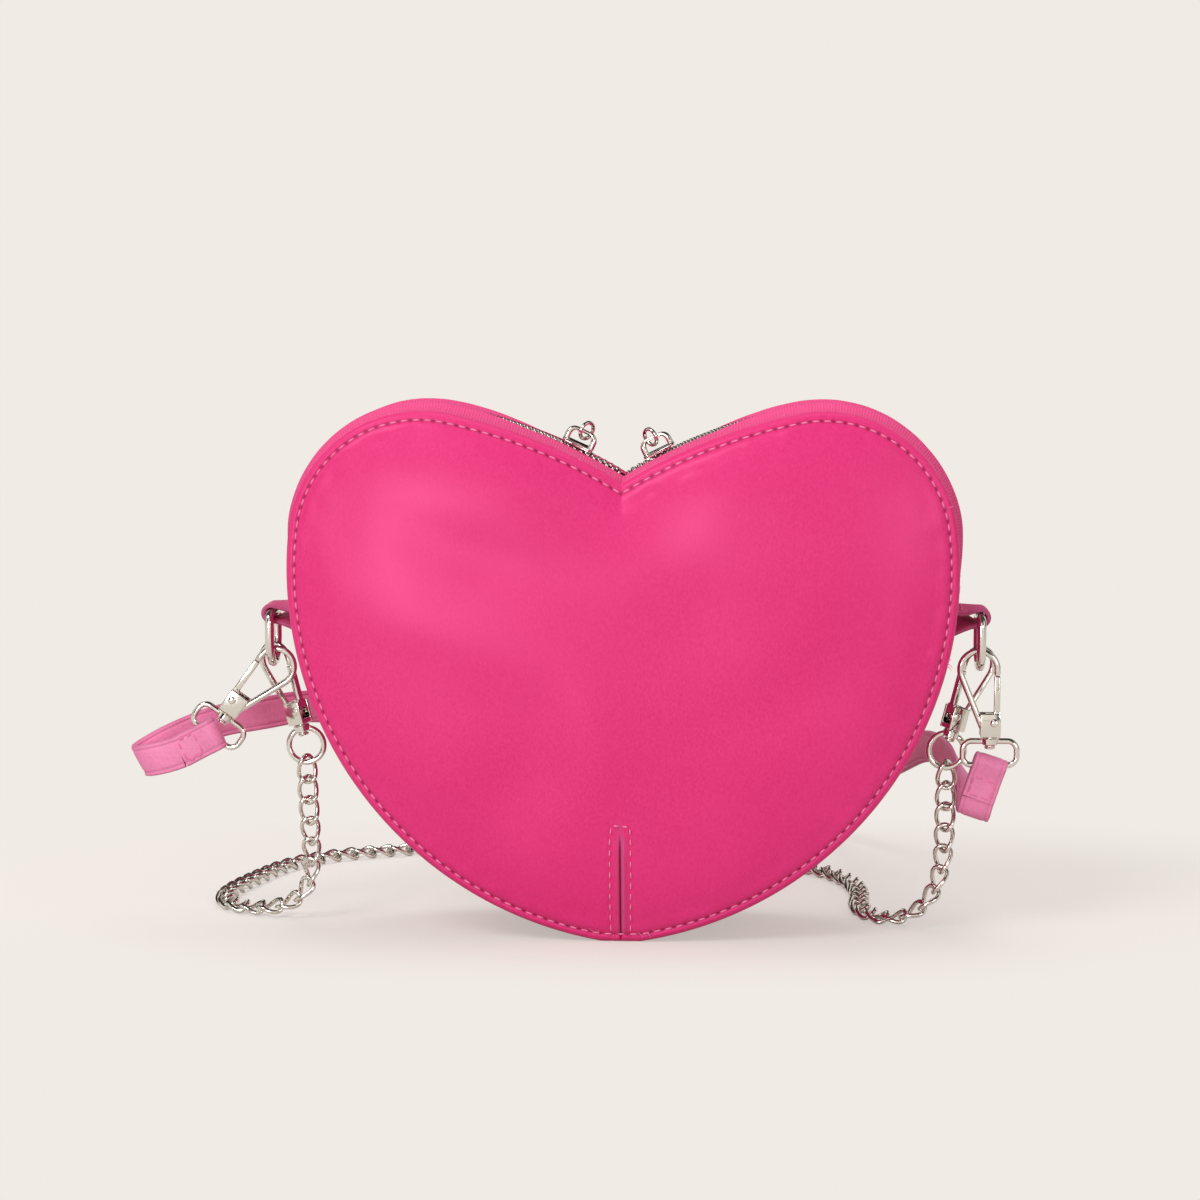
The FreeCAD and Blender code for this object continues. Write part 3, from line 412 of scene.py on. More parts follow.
def loft(bm, rows, closed=False):
    """Vertices at rows of places, or rings if closed, each row extruded from the one before it."""
    made = [[bm.verts.new(place) for place in rows[0]]]
    for pair in pairs(made[0], closed):
        bm.edges.new(pair)
    for places in rows[1:]:
        edges = [bm.edges.get(pair) for pair in pairs(made[-1], closed)]
        fresh = {item for item in bmesh.ops.extrude_edge_only(bm, edges=edges)["geom"]
                 if isinstance(item, bmesh.types.BMVert)}
        row = []
        for vert, place in zip(made[-1], places):
            others = (edge.other_vert(vert) for edge in vert.link_edges)
            row.append(next(other for other in others if other in fresh))
            row[-1].co = place
        made.append(row)
    return made


def skin(bm, rings, closed):
    """A wall through rings of places. The last ring is joined to the first, or both are capped."""
    rows = loft(bm, rings, True)
    if closed:
        edges = [bm.edges.get(pair) for row in (rows[-1], rows[0]) for pair in pairs(row, True)]
        bmesh.ops.bridge_loops(bm, edges=edges)
    else:
        for row in (rows[0], rows[-1]):
            bmesh.ops.contextual_create(bm, geom=row)
    return rows


def headings(points, closed):
    """Directions of a line at its points."""
    count = len(points)
    if closed:
        return [(points[(i + 1) % count] - points[i - 1]).normalized() for i in range(count)]
    return [(points[min(i + 1, count - 1)] - points[max(i - 1, 0)]).normalized() for i in range(count)]


def tube(bm, points, radius, up, sides=14, closed=False):
    """A round wire along points. Its rings are kept upright by a direction that the wire never follows."""
    radii = radius if isinstance(radius, list) else [radius] * len(points)
    turns = [2 * math.pi * k / sides for k in range(sides)]
    rings = []
    for point, along, size in zip(points, headings(points, closed), radii):
        across = along.cross(up).normalized()
        out = across.cross(along)
        rings.append([point + (across * math.cos(t) + out * math.sin(t)) * size for t in turns])
    skin(bm, rings, closed)


def round_edges(bm, verts, offset, segments):
    edges = {edge for vert in verts for edge in vert.link_edges}
    bmesh.ops.bevel(bm, geom=list(edges), offset=offset, offset_type="OFFSET", segments=segments, profile=0.5,
                    affect="EDGES", material=-1)


def slab(bm, low, high, corner, segments=3):
    """A box from its lowest to its highest corner with rounded edges."""
    low, high = Vector(low), Vector(high)
    matrix = Matrix.Translation((low + high) / 2) @ Matrix.Diagonal((*(high - low), 1))
    round_edges(bm, bmesh.ops.create_cube(bm, size=1, matrix=matrix)["verts"], corner, segments)


def turned(bm, profile, start, axis, steps=28):
    """Spins a profile of (radius, height) pairs round an axis."""
    place = Matrix.Translation(start) @ axis.to_track_quat("Z", "Y").to_matrix().to_4x4()
    verts = loft(bm, [[place @ Vector((radius, 0, height)) for radius, height in profile]])[0]
    edges = [bm.edges.get(pair) for pair in pairs(verts, False)]
    bmesh.ops.spin(bm, geom=verts + edges, cent=start, axis=axis, angle=2 * math.pi, steps=steps,
                   use_merge=True)
    bmesh.ops.remove_doubles(bm, verts=bm.verts, dist=0.0005)


def sweep(centre, first, second, radius, start, end, steps):
    """Points on an arc in the plane of two directions, angles in degrees."""
    turns = [math.radians(start + (end - start) * i / steps) for i in range(steps + 1)]
    return [Vector(centre) + (first * math.cos(t) + second * math.sin(t)) * radius for t in turns]


def quarters(corners, first, second, radius, steps):
    """A path round corners: each has a centre and the angle from which it turns by a quarter."""
    return [point for centre, start in corners
            for point in sweep(centre, first, second, radius, start, start - 90, steps)]


GROOVE_INSET = 1.35


def band_section(half, thick, corner, crown, groove):
    """Outline of a flat band: rounded edges, crowned faces and, with a groove, a line pressed near each edge."""
    section = []
    for sx, sy in ((1, 1), (-1, 1), (-1, -1), (1, -1)):
        for angle in (0, 45, 90) if sx * sy > 0 else (90, 45, 0):
            t = math.radians(angle)
            section.append((sx * (half - corner + corner * math.cos(t)),
                            sy * (thick - corner + corner * math.sin(t))))
        if sx * sy > 0:
            inner = [(half * k, thick + crown) for k in (0.5, 0.0, -0.5)]
            if groove:
                line = [(half - 1.0, thick), (half - GROOVE_INSET, thick - groove), (half - 1.7, thick)]
                inner = line + inner + [(-a, b) for a, b in line[::-1]]
            section += [(sx * a, sy * b) for a, b in inner]
    return section


def ribbon(bm, points, across, width, thickness, closed=False, corner=0.5, crown=0.0, groove=0.0):
    """A flat band along points, with its width along the given directions. Its run, place across and edges are
    kept as attributes."""
    layers = float_layers(bm, "run", "across", "edge")
    half, thick = width / 2, thickness / 2
    corner = min(corner, thick * 0.95)
    section = band_section(half, thick, corner, crown, groove)
    rings = []
    for point, along, way in zip(points, headings(points, closed), across):
        side = (way - along * way.dot(along)).normalized()
        out = along.cross(side)
        rings.append([point + side * a + out * b for a, b in section])
    run = 0.0
    for i, row in enumerate(skin(bm, rings, closed)):
        run += (points[i] - points[i - 1]).length if i else 0.0
        for vert, (a, _) in zip(row, section):
            pressed = groove and abs(abs(a) - half + GROOVE_INSET) < 0.01
            edge = 0.7 if abs(a) > half - corner * 0.6 else 0.45 if pressed else 0.0
            for layer, value in zip(layers, (run, a, edge)):
                vert[layer] = value


def sew(bm, holes, normals, thread, closed=False, sink=0.1):
    """Stitches between needle holes: small rounded lengths of thread that lie on the surface."""
    for a, b in pairs(list(range(len(holes))), closed):
        span = holes[b] - holes[a]
        along = span.normalized()
        out = (normals[a] + normals[b]).normalized()
        out = (out - along * out.dot(along)).normalized()
        middle = (holes[a] + holes[b]) / 2 + out * (thread / 2 - sink)
        turn = Matrix((along, out.cross(along), out)).transposed().to_4x4()
        size = Matrix.Diagonal((span.length * 0.33, thread / 2, thread / 2, 1))
        bmesh.ops.create_uvsphere(bm, u_segments=8, v_segments=5, radius=1.0,
                                  matrix=Matrix.Translation(middle) @ turn @ size)


def put(name, data):
    """A new object in the scene."""
    made = bpy.data.objects.new(name, data)
    bpy.context.scene.collection.objects.link(made)
    return made


def finish_piece(bm, name, material, slot, *nodes, body="purse", sharp=40, normals=True, matrix=None):
    """Turns a shape in millimetres into a piece in metres that rides on a body."""
    if matrix is not None:
        bmesh.ops.transform(bm, matrix=matrix, verts=bm.verts)
    if normals:
        bmesh.ops.recalc_face_normals(bm, faces=bm.faces)
    bmesh.ops.scale(bm, vec=(MM, MM, MM), verts=bm.verts)
    mesh = bpy.data.meshes.new(name)
    bm.to_mesh(mesh)
    bm.free()
    mesh.materials.append(material)
    mesh.shade_smooth()
    mesh.set_sharp_from_angle(angle=math.radians(sharp))
    piece = put(name, mesh)
    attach(piece, body)
    if nodes:
        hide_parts(*nodes)
    return piece


def finish_sheet(bm, name, material, slot, node, thickness, flat, under, sharp=40, **more):
    """Finishes an open sheet of cloth that faces the right way. Its flat size is not used."""
    piece = finish_piece(bm, name, material, slot, node, sharp=sharp, normals=False)
    wall = piece.modifiers.new("Cloth thickness", "SOLIDIFY")
    wall.thickness = thickness * MM
    wall.offset = -1.0


def finish_stitches(bm, name, slot, matrix=None):
    return finish_piece(bm, name, sewing_thread(), slot, sharp=80, matrix=matrix)


def face_towards(bm, direction):
    """Turns an open sheet so that its faces point along a direction on the whole."""
    bmesh.ops.recalc_face_normals(bm, faces=bm.faces)
    if sum(face.normal.dot(direction(face.calc_center_median())) * face.calc_area() for face in bm.faces) < 0:
        bmesh.ops.reverse_faces(bm, faces=bm.faces)


def close_middle(bm, ring):
    bmesh.ops.pointmerge(bm, verts=ring, merge_co=sum((v.co for v in ring), Vector()) / len(ring))


# The heart's outline

def circle_meet(first, first_radius, second, second_radius, side):
    dx, dz = second[0] - first[0], second[1] - first[1]
    apart = math.hypot(dx, dz)
    along = (first_radius ** 2 - second_radius ** 2 + apart ** 2) / (2 * apart)
    off = side * math.sqrt(first_radius ** 2 - along ** 2)
    return (first[0] + (dx * along - dz * off) / apart, first[1] + (dz * along + dx * off) / apart)


LOBE_CENTRE = (HEART_WIDTH / 2 - LOBE_RADIUS, HEART_HEIGHT - LOBE_RADIUS)
SIDE_CENTRE = circle_meet((TIP_HALF_WIDTH, 0), SIDE_RADIUS, LOBE_CENTRE, SIDE_RADIUS - LOBE_RADIUS, 1)
SHOULDER_CENTRE = circle_meet((0, CLEFT_HEIGHT), SHOULDER_RADIUS, LOBE_CENTRE, SHOULDER_RADIUS - LOBE_RADIUS,
                              -1)
SIDE_END = math.atan2(LOBE_CENTRE[1] - SIDE_CENTRE[1], LOBE_CENTRE[0] - SIDE_CENTRE[0])
LOBE_END = math.atan2(LOBE_CENTRE[1] - SHOULDER_CENTRE[1], LOBE_CENTRE[0] - SHOULDER_CENTRE[0])
STITCH_STEPS = 4
TIP_STITCHES = 3
TIP_STEPS = 48


def half_arcs(inset):
    """Side, lobe and shoulder of the right half, from the tip to the cleft: centre, radius and both angles."""
    start = math.asin((inset - SIDE_CENTRE[1]) / (SIDE_RADIUS - inset))
    end = math.acos(-SHOULDER_CENTRE[0] / (SHOULDER_RADIUS - inset))
    return ((SIDE_CENTRE, SIDE_RADIUS - inset, start, SIDE_END),
            (LOBE_CENTRE, LOBE_RADIUS - inset, SIDE_END, LOBE_END),
            (SHOULDER_CENTRE, SHOULDER_RADIUS - inset, LOBE_END, end))


def on_arc(arc, angle):
    return (arc[0][0] + arc[1] * math.cos(angle), arc[0][1] + arc[1] * math.sin(angle))


def along_arc(arc, start, end, steps):
    return [on_arc(arc, start + (end - start) * i / steps) for i in range(steps)]


def arc_length(arc):
    return arc[1] * abs(arc[3] - arc[2])


def angle_at(arc, height):
    """Angle at which the side's arc reaches a height."""
    return math.asin((height - SIDE_CENTRE[1]) / arc[1])


def mirrored(points):
    return [(-x, z) for x, z in points]


def heart_ring(inset):
    """Points (x, z) round the outline from the tip's left end, a few to each stitch."""
    half = []
    for arc, plain in zip(half_arcs(inset), half_arcs(0)):
        stitches = max(1, round(arc_length(plain) / size_of("stitch_pitch")))
        half += along_arc(arc, arc[2], arc[3], stitches * STITCH_STEPS)
    tip = half[0][0]
    ring = [(tip * (2 * i / TIP_STEPS - 1), inset) for i in range(TIP_STEPS)]
    return ring + half + [on_arc(arc, arc[3])] + mirrored(half[:0:-1])


def needle_holes(count):
    return list(range(0, TIP_STEPS, TIP_STEPS // TIP_STITCHES)) + list(range(TIP_STEPS, count, STITCH_STEPS))


def drawn_in(ring, share):
    """A ring drawn in towards the crown's middle."""
    return [(x * share, CROWN_CENTRE + (z - CROWN_CENTRE) * share) for x, z in ring]


def outline_reach():
    """Distance of the outline from the crown's middle, by direction."""
    ring = np.array(heart_ring(0))
    turn = np.arctan2(ring[:, 1] - CROWN_CENTRE, ring[:, 0])
    reach = np.hypot(ring[:, 0], ring[:, 1] - CROWN_CENTRE)
    order = np.argsort(turn)
    return turn[order], reach[order]


def eased_reach(table):
    """The same distances with eased corners and a rounded notch at the cleft, for the padding's dome."""
    beside, margin = 0.25, 40
    turn = np.linspace(-math.pi, math.pi, 720, endpoint=False)
    reach = np.interp(turn, *table, period=2 * math.pi)
    away = np.abs(turn - math.pi / 2)
    low, high = np.interp((math.pi / 2, math.pi / 2 + beside), turn, reach)
    reach = reach + (high - low) / beside * (np.sqrt(away * away + 0.03) - away)
    weights = np.exp(-(np.arange(-margin, margin + 1) / 12) ** 2)
    return turn, np.convolve(np.pad(reach, margin, mode="wrap"), weights / weights.sum(), mode="valid")


def dome_rise(table, x, z):
    """How far the dome stands out over a point, from 0 at the outline to 1 at the crown's middle."""
    reach = np.interp(math.atan2(z - CROWN_CENTRE, x), *table, period=2 * math.pi)
    share = min(math.hypot(x, z - CROWN_CENTRE) / reach, 1.0)
    return 0.55 * (1 - share ** 3) + 0.45 * (1 - share ** 7)


# Soft hollows and swells of the satin over its padding: x, z, reach across, reach up, turn, height
FRONT_FORM = (
    (-44, 119, 38, 10, -20, -1.0), (-54, 95, 42, 12, -20, 0.9), (22, 104, 14, 24, 25, -1.0),
    (46, 74, 24, 12, 20, -1.0), (-8, 62, 9, 22, 8, 0.9), (-30, 48, 14, 20, -30, -0.8),
    (20, 44, 12, 18, 20, -0.6), (66, 112, 20, 18, 0, 0.8), (80, 86, 9, 24, -8, 0.6),
    (-84, 124, 10, 18, 10, -0.5))
REAR_FORM = (
    (40, 96, 26, 14, 18, -0.8), (-44, 70, 24, 14, -20, -0.8), (0, 60, 12, 24, 0, 0.5),
    (-60, 118, 22, 16, 10, 0.4), (60, 122, 20, 14, -10, 0.5), (14, 110, 14, 18, 15, -0.4))
# Inset and depth behind the front plane: the hem's inner wall, its fold and the rounded edge
HEM = ((1.15, 1.2), (1.1, 2.3), (0.7, 2.55), (0.25, 2.5), (0.02, 2.1), (0.0, 1.4), (0.02, 0.8), (0.16, 0.36),
       (0.45, 0.06))
DART_TOP = 37.0
DART_HALF = 3.1
DART_FOOT = 2.9
SLIT_TOP = 33.0
# Places of loose thread ends: at the tip, at the right side and below the right tab
THREAD_ENDS = (
    (-6, -23.4, 3.6), (-8, -23.3, 3.4), (5, -23.4, 3.2), (7.5, -23.3, 3.3), (9, -23.2, 3.8),
    (96.6, -22.9, 132.0), (96.7, -22.3, 85.6), (96.5, -22.2, 84.9), (96.9, -22.3, 86.2))


def soft_form(forms, x, z):
    total = 0.0
    for fx, fz, wide, tall, turn, height in forms:
        c, s = math.cos(math.radians(turn)), math.sin(math.radians(turn))
        u, v = (x - fx) * c + (z - fz) * s, (z - fz) * c - (x - fx) * s
        total += height * math.exp(-(u / wide) ** 2 - (v / tall) ** 2)
    return total


def dart_marks(x, z):
    """How much shade is painted into the dart's slit, and how dull its frayed lips are, at a point."""
    if z > DART_TOP or abs(x) > 3:
        return 0.0, 0.0
    if z > SLIT_TOP:
        return 0.0, 0.5 * bell(x, 0.1, 0.45)
    # The slit's darkness is painted shade; the lips' dull pink is their fray
    return 0.75 * bell(x, 0, 0.2), min(0.85, 0.85 * bell(x, 0.85, 0.5) + 0.7 * bell(x, -0.65, 0.32))


def satin_panel(side, forms, seed, dart):
    """One satin panel over its padding, from its turned-in hem over the stitched edge to the crown. It returns
    the shape, still in millimetres, and the needle holes of the top stitching."""
    bm = bmesh.new()
    seam_shade_layer, fray_layer = float_layers(bm, "seam_shade", "fray")
    table = outline_reach()
    eased = eased_reach(table)
    cleft = CROWN_CENTRE + np.interp(math.pi / 2, *table)
    crown, inset = size_of("crown"), size_of("stitch_inset")
    flat = [0.85, 1.3, 1.8] + [inset + step for step in (-0.35, 0, 0.35, 0.8, 1.5, 2.5, 3.8)]
    holes = set(needle_holes(len(heart_ring(0))))

    def lift(x, z, d, hole):
        """Distance of the face from the front plane."""
        near = ease((d - 1.5) / 12)
        height = crown * (dome_rise(table, x, z) * (1 - near) + dome_rise(eased, x, z) * near)
        height *= 1 - 0.45 * math.exp(-(x * x + (z - cleft) ** 2) / 400)
        height += soft_form(forms, x, z) * near
        height += 0.22 * bell(d, 1.35, 0.7) + 0.2 * bell(d, inset + 1.9, 1.3) - 0.34 * bell(d, inset, 0.5)
        height += 0.3 * waver(x * 0.2 + seed, z * 0.2, seed * 3.1) * bell(d, inset + 2.6, 3.0)
        height += 0.48 * waver(x * 0.03 + seed, z * 0.03, seed) * near
        if hole:
            height -= 0.24 * bell(d, inset, 0.4)
        if dart and z < DART_TOP + 3 and abs(x) < 6:
            height += clamp((SLIT_TOP - z) / 4) * (0.42 * bell(abs(x), 1.15, 0.75) - bell(x, 0, 0.24))
            height -= 0.26 * bell(abs(x), DART_HALF, 0.4) * clamp((DART_TOP + 1 - z) / 2)
        return height

    rows = [[Vector((x, side * (HALF_DEPTH - back), z)) for x, z in heart_ring(d)] for d, back in HEM]
    for d in flat:
        rows.append([Vector((x, side * (HALF_DEPTH + lift(x, z, d, i in holes)), z))
                     for i, (x, z) in enumerate(heart_ring(d))])
    base = heart_ring(flat[-1])
    for share in np.linspace(0.985, 0.015, 40):
        d = flat[-1] + (1 - share) * 60
        rows.append([Vector((x, side * (HALF_DEPTH + lift(x, z, d, False)), z))
                     for x, z in drawn_in(base, share)])
    made = loft(bm, rows, True)[len(HEM):]
    for d, row in zip(flat, made):
        for i, vert in enumerate(row):
            # Painted shade along the stitch line, strongest at the needle holes, and in the dart's slit
            vert[seam_shade_layer] = bell(d, inset, 0.5) if i in holes else 0.3 * bell(d, inset, 0.45)
            if dart and d > inset:
                slit, vert[fray_layer] = dart_marks(vert.co.x, vert.co.z)
                vert[seam_shade_layer] = max(vert[seam_shade_layer], slit)
    if dart:
        for vert in sum(made[len(flat):], []):
            vert[seam_shade_layer], vert[fray_layer] = dart_marks(vert.co.x, vert.co.z)
    close_middle(bm, made[-1])
    face_towards(bm, lambda middle: Y * side)
    line = rows[len(HEM) + flat.index(inset)]
    return bm, [line[i] for i in needle_holes(len(line))]


class PURSE_OT_panels(bpy.types.Operator):
    """Satin panels with their top stitching, the dart and loose threads"""
    bl_idname = "purse.panels"
    bl_label = "Satin panels"

    def execute(self, context):
        thread = size_of("thread")
        stitches = bmesh.new()
        for side, name, forms, seed in ((-1, "front", FRONT_FORM, 1.7), (1, "rear", REAR_FORM, 5.3)):
            bm, holes = satin_panel(side, forms, seed, side < 0)
            sew(stitches, holes, [Y * side] * len(holes), thread, closed=True, sink=-0.05)
            if side < 0:
                surface = BVHTree.FromBMesh(bm)
                hits = [surface.ray_cast(Vector((x, -80, z)), Y) for x, z in self.dart_line()]
                places, normals = list(zip(*hits))[:2]
                sew(stitches, places, normals, thread * 0.9, sink=-0.04)
            panel = finish_piece(bm, "satin_panel_" + name, woven_satin(), "satin", name + "_panel", sharp=60,
                                 normals=False)
        finish_stitches(stitches, "top_stitching", "satin")
        self.loose_threads()
        return {"FINISHED"}

    def dart_line(self):
        """Needle holes up one side of the dart, over its top and down the other."""
        count = 10
        left = [(-DART_HALF * (0.9 + 0.12 * math.sin(math.pi * i / count)),
                 DART_FOOT + i * (DART_TOP - DART_FOOT) / count) for i in range(count)]
        top = [(-2.5, DART_TOP), (0.2, DART_TOP - 0.1), (2.8, DART_TOP - 0.5)]
        return left + top + [(-x + 0.1, z) for x, z in left[::-1]]

    def loose_threads(self):
        bm = bmesh.new()
        for i, start in enumerate(THREAD_ENDS):
            heading = Vector((1 if start[0] > 0 else -1, -0.25, -0.15 - 0.12 * (i % 3))).normalized()
            reach = heading * (1.7 + 1.1 * abs(math.sin(i * 2.4)))
            bend = Vector((-0.5 * heading.x, -0.4, 1.5 * math.sin(i * 1.7)))
            shares = [k / 6 for k in range(7)]
            points = [Vector(start) + reach * (t - 0.15) + bend * (t * t) for t in shares]
            tube(bm, points, [0.2 * (1 - 0.6 * t) for t in shares], Vector((0, 1, 0.3)), sides=6)
        finish_stitches(bm, "loose_threads", "satin")


def side_row(inset, top, steps):
    """Points of the lower outline from the left side through the tip to the right side, up to a height."""
    arc = half_arcs(inset)[0]
    end = angle_at(arc, top)
    right = along_arc(arc, arc[2], end, steps) + [on_arc(arc, end)]
    tip = right[0][0]
    return mirrored(right[::-1]) + [(tip * (k / 4 - 1), inset) for k in range(1, 8)] + right


def top_row(inset, low, steps):
    """Points of the upper outline from the left side over both lobes and the cleft to the right side."""
    side, lobe, shoulder = half_arcs(inset)
    half = along_arc(side, angle_at(side, low), SIDE_END, steps // 4)
    for arc in (lobe, shoulder):
        half += along_arc(arc, arc[2], arc[3], steps)
    return mirrored(half) + [on_arc(shoulder, shoulder[3])] + half[::-1]


class PURSE_OT_gusset(bpy.types.Operator):
    """Satin gusset between the panels, with a stitch line near each edge"""
    bl_idname = "purse.gusset"
    bl_label = "Gusset"

    def execute(self, context):
        bm = bmesh.new()
        # The satin reads these values, which stay 0 on the gusset
        float_layers(bm, "seam_shade", "fray")
        rows = []
        for y in (-GUSSET_HALF + 2 * GUSSET_HALF * k / 28 for k in range(29)):
            swell = 0.95 * (1 - (y / GUSSET_HALF) ** 2) ** 0.7 - 0.25 * bell(abs(y), GUSSET_STITCHES, 0.9)
            loose = 0.3 * min(1, (GUSSET_HALF - abs(y)) / 5)
            rows.append([])
            for x, z in side_row(GUSSET_INSET, GUSSET_TOP, 84):
                out = Vector((x, 0, z - GUSSET_CENTRE)).normalized() * min(1.0, z / 12)
                rows[-1].append(Vector((x, y, z)) + out * (swell + loose * waver(x * 0.1, y * 0.05, z * 0.16)))
        loft(bm, rows)
        face_towards(bm, lambda middle: Vector((middle.x, 0, middle.z - GUSSET_CENTRE)))
        surface = BVHTree.FromBMesh(bm)
        finish_sheet(bm, "satin_gusset", woven_satin(), "satin", "lower_gusset", 0.8, (0.042, 0.282),
                     "gusset_lining")
        stitches = bmesh.new()
        line = side_row(GUSSET_INSET, GUSSET_TOP - 2, 38)
        for y in (-GUSSET_STITCHES, GUSSET_STITCHES):
            hits = [surface.find_nearest(Vector((x, y, z))) for x, z in line]
            places, normals = list(zip(*hits))[:2]
            sew(stitches, places, normals, size_of("thread"), sink=0.05)
        finish_stitches(stitches, "gusset_stitching", "satin")
        return {"FINISHED"}


def gape(x):
    """How far a row of teeth stands from the middle where the zip is open."""
    share = (x - MOUTH_MIDDLE) / MOUTH_HALF_LENGTH
    return MOUTH_GAPE * max(0, 1 - share * share)


def on_track(run, hand):
    """The zip's middle line at a run from the cleft: its place and its turn."""
    arcs = half_arcs(TRACK_INSET)[::-1]
    for arc in arcs:
        if run <= arc_length(arc) or arc is arcs[-1]:
            angle = arc[3] - run / arc[1]
            x, z = on_arc(arc, angle)
            return Vector((hand * x, 0, z)), Matrix.Rotation(hand * (math.pi / 2 - angle), 4, "Y")
        run -= arc_length(arc)


def roll(x, z):
    """Height of the tape's soft roll, which lies outside the sliders' plates and ends above the tabs."""
    return 1.7 * ease((abs(x) - 17) / 30) * ease((z - 104) / 24)


def paint(node, material):
    """Gives a CAD node that stays in view its finish."""
    piece = frame["nodes"][node]
    if not piece.material_slots:
        piece.data.materials.append(material)
    for place in piece.material_slots:
        place.material = material


class PURSE_OT_zip(bpy.types.Operator):
    """Zip tapes and the metal teeth clamped on them"""
    bl_idname = "purse.zip"
    bl_label = "Zip"

    def execute(self, context):
        for side, name in ((-1, "front"), (1, "rear")):
            self.tape(side, name)
            self.teeth(side, name)
        paint("zip_end_stops", tooth_metal())
        return {"FINISHED"}

    def tape(self, side, name):
        bm = bmesh.new()
        run_layer, across_layer = float_layers(bm, "run", "across")
        hem, ridge = [[Vector(point) for point in top_row(inset - 0.35, TAPE_LOW, 60)]
                      for inset in (TAPE_MIDDLE, TRACK_INSET)]
        runs = [0.0]
        for a, b in pairs(ridge, False):
            runs.append(runs[-1] + (b - a).length)
        rows, widths = [], []
        for share in (k / 24 for k in range(25)):
            widths.append([TAPE_OUTER - share * (TAPE_OUTER - TAPE_INNER - gape(high.x)) for high in ridge])
            rows.append([])
            for low, high, y in zip(hem, ridge, widths[-1]):
                rise = clamp((TAPE_HEM - y) / (TAPE_HEM - TAPE_FLAT))
                x, z = low.lerp(high, rise * (1.7 - 0.7 * rise))
                ripple = 0.12 * waver(x * 0.16, y * 0.2, z * 0.16) * math.sin(math.pi * share)
                out = (high - low).normalized() * roll(x, z) * bell(y, 9.0, 2.2)
                rows[-1].append(Vector((x + out.x, side * y, z + out.y + ripple)))
        for row, places in zip(loft(bm, rows), widths):
            for vert, run, width in zip(row, runs, places):
                vert[run_layer], vert[across_layer] = run, width
        face_towards(bm, lambda middle: Vector((middle.x * 0.3, 0, middle.z - 90)))
        finish_sheet(bm, "woven_tape_" + name, woven_tape(), "zip_tape", "zip_tape_" + name, 0.6,
                     (0.0199, 0.26), name + "_board", sharp=50)

    def teeth(self, side, name):
        """One row: a bevelled block for every pitch, the rear row half a pitch on."""
        bm = bmesh.new()
        arcs = half_arcs(TRACK_INSET)
        total = arcs[0][1] * (SIDE_END - angle_at(arcs[0], TAPE_LOW)) + sum(map(arc_length, arcs[1:]))
        for hand in (1, -1):
            run = 1.9 + (TOOTH_PITCH / 2 if side > 0 else 0.0)
            while run <= total - 4.0:
                place, tilt = on_track(run, hand)
                shift = Y * (side * (0.525 + gape(place.x)))
                matrix = Matrix.Translation(place + shift) @ tilt @ Matrix.Diagonal((1.05, 2.75, 2.2, 1))
                round_edges(bm, bmesh.ops.create_cube(bm, size=1, matrix=matrix)["verts"], 0.22, 1)
                run += TOOTH_PITCH
        finish_piece(bm, "metal_teeth_" + name, tooth_metal(), "nickel", "zip_teeth_" + name, sharp=50)


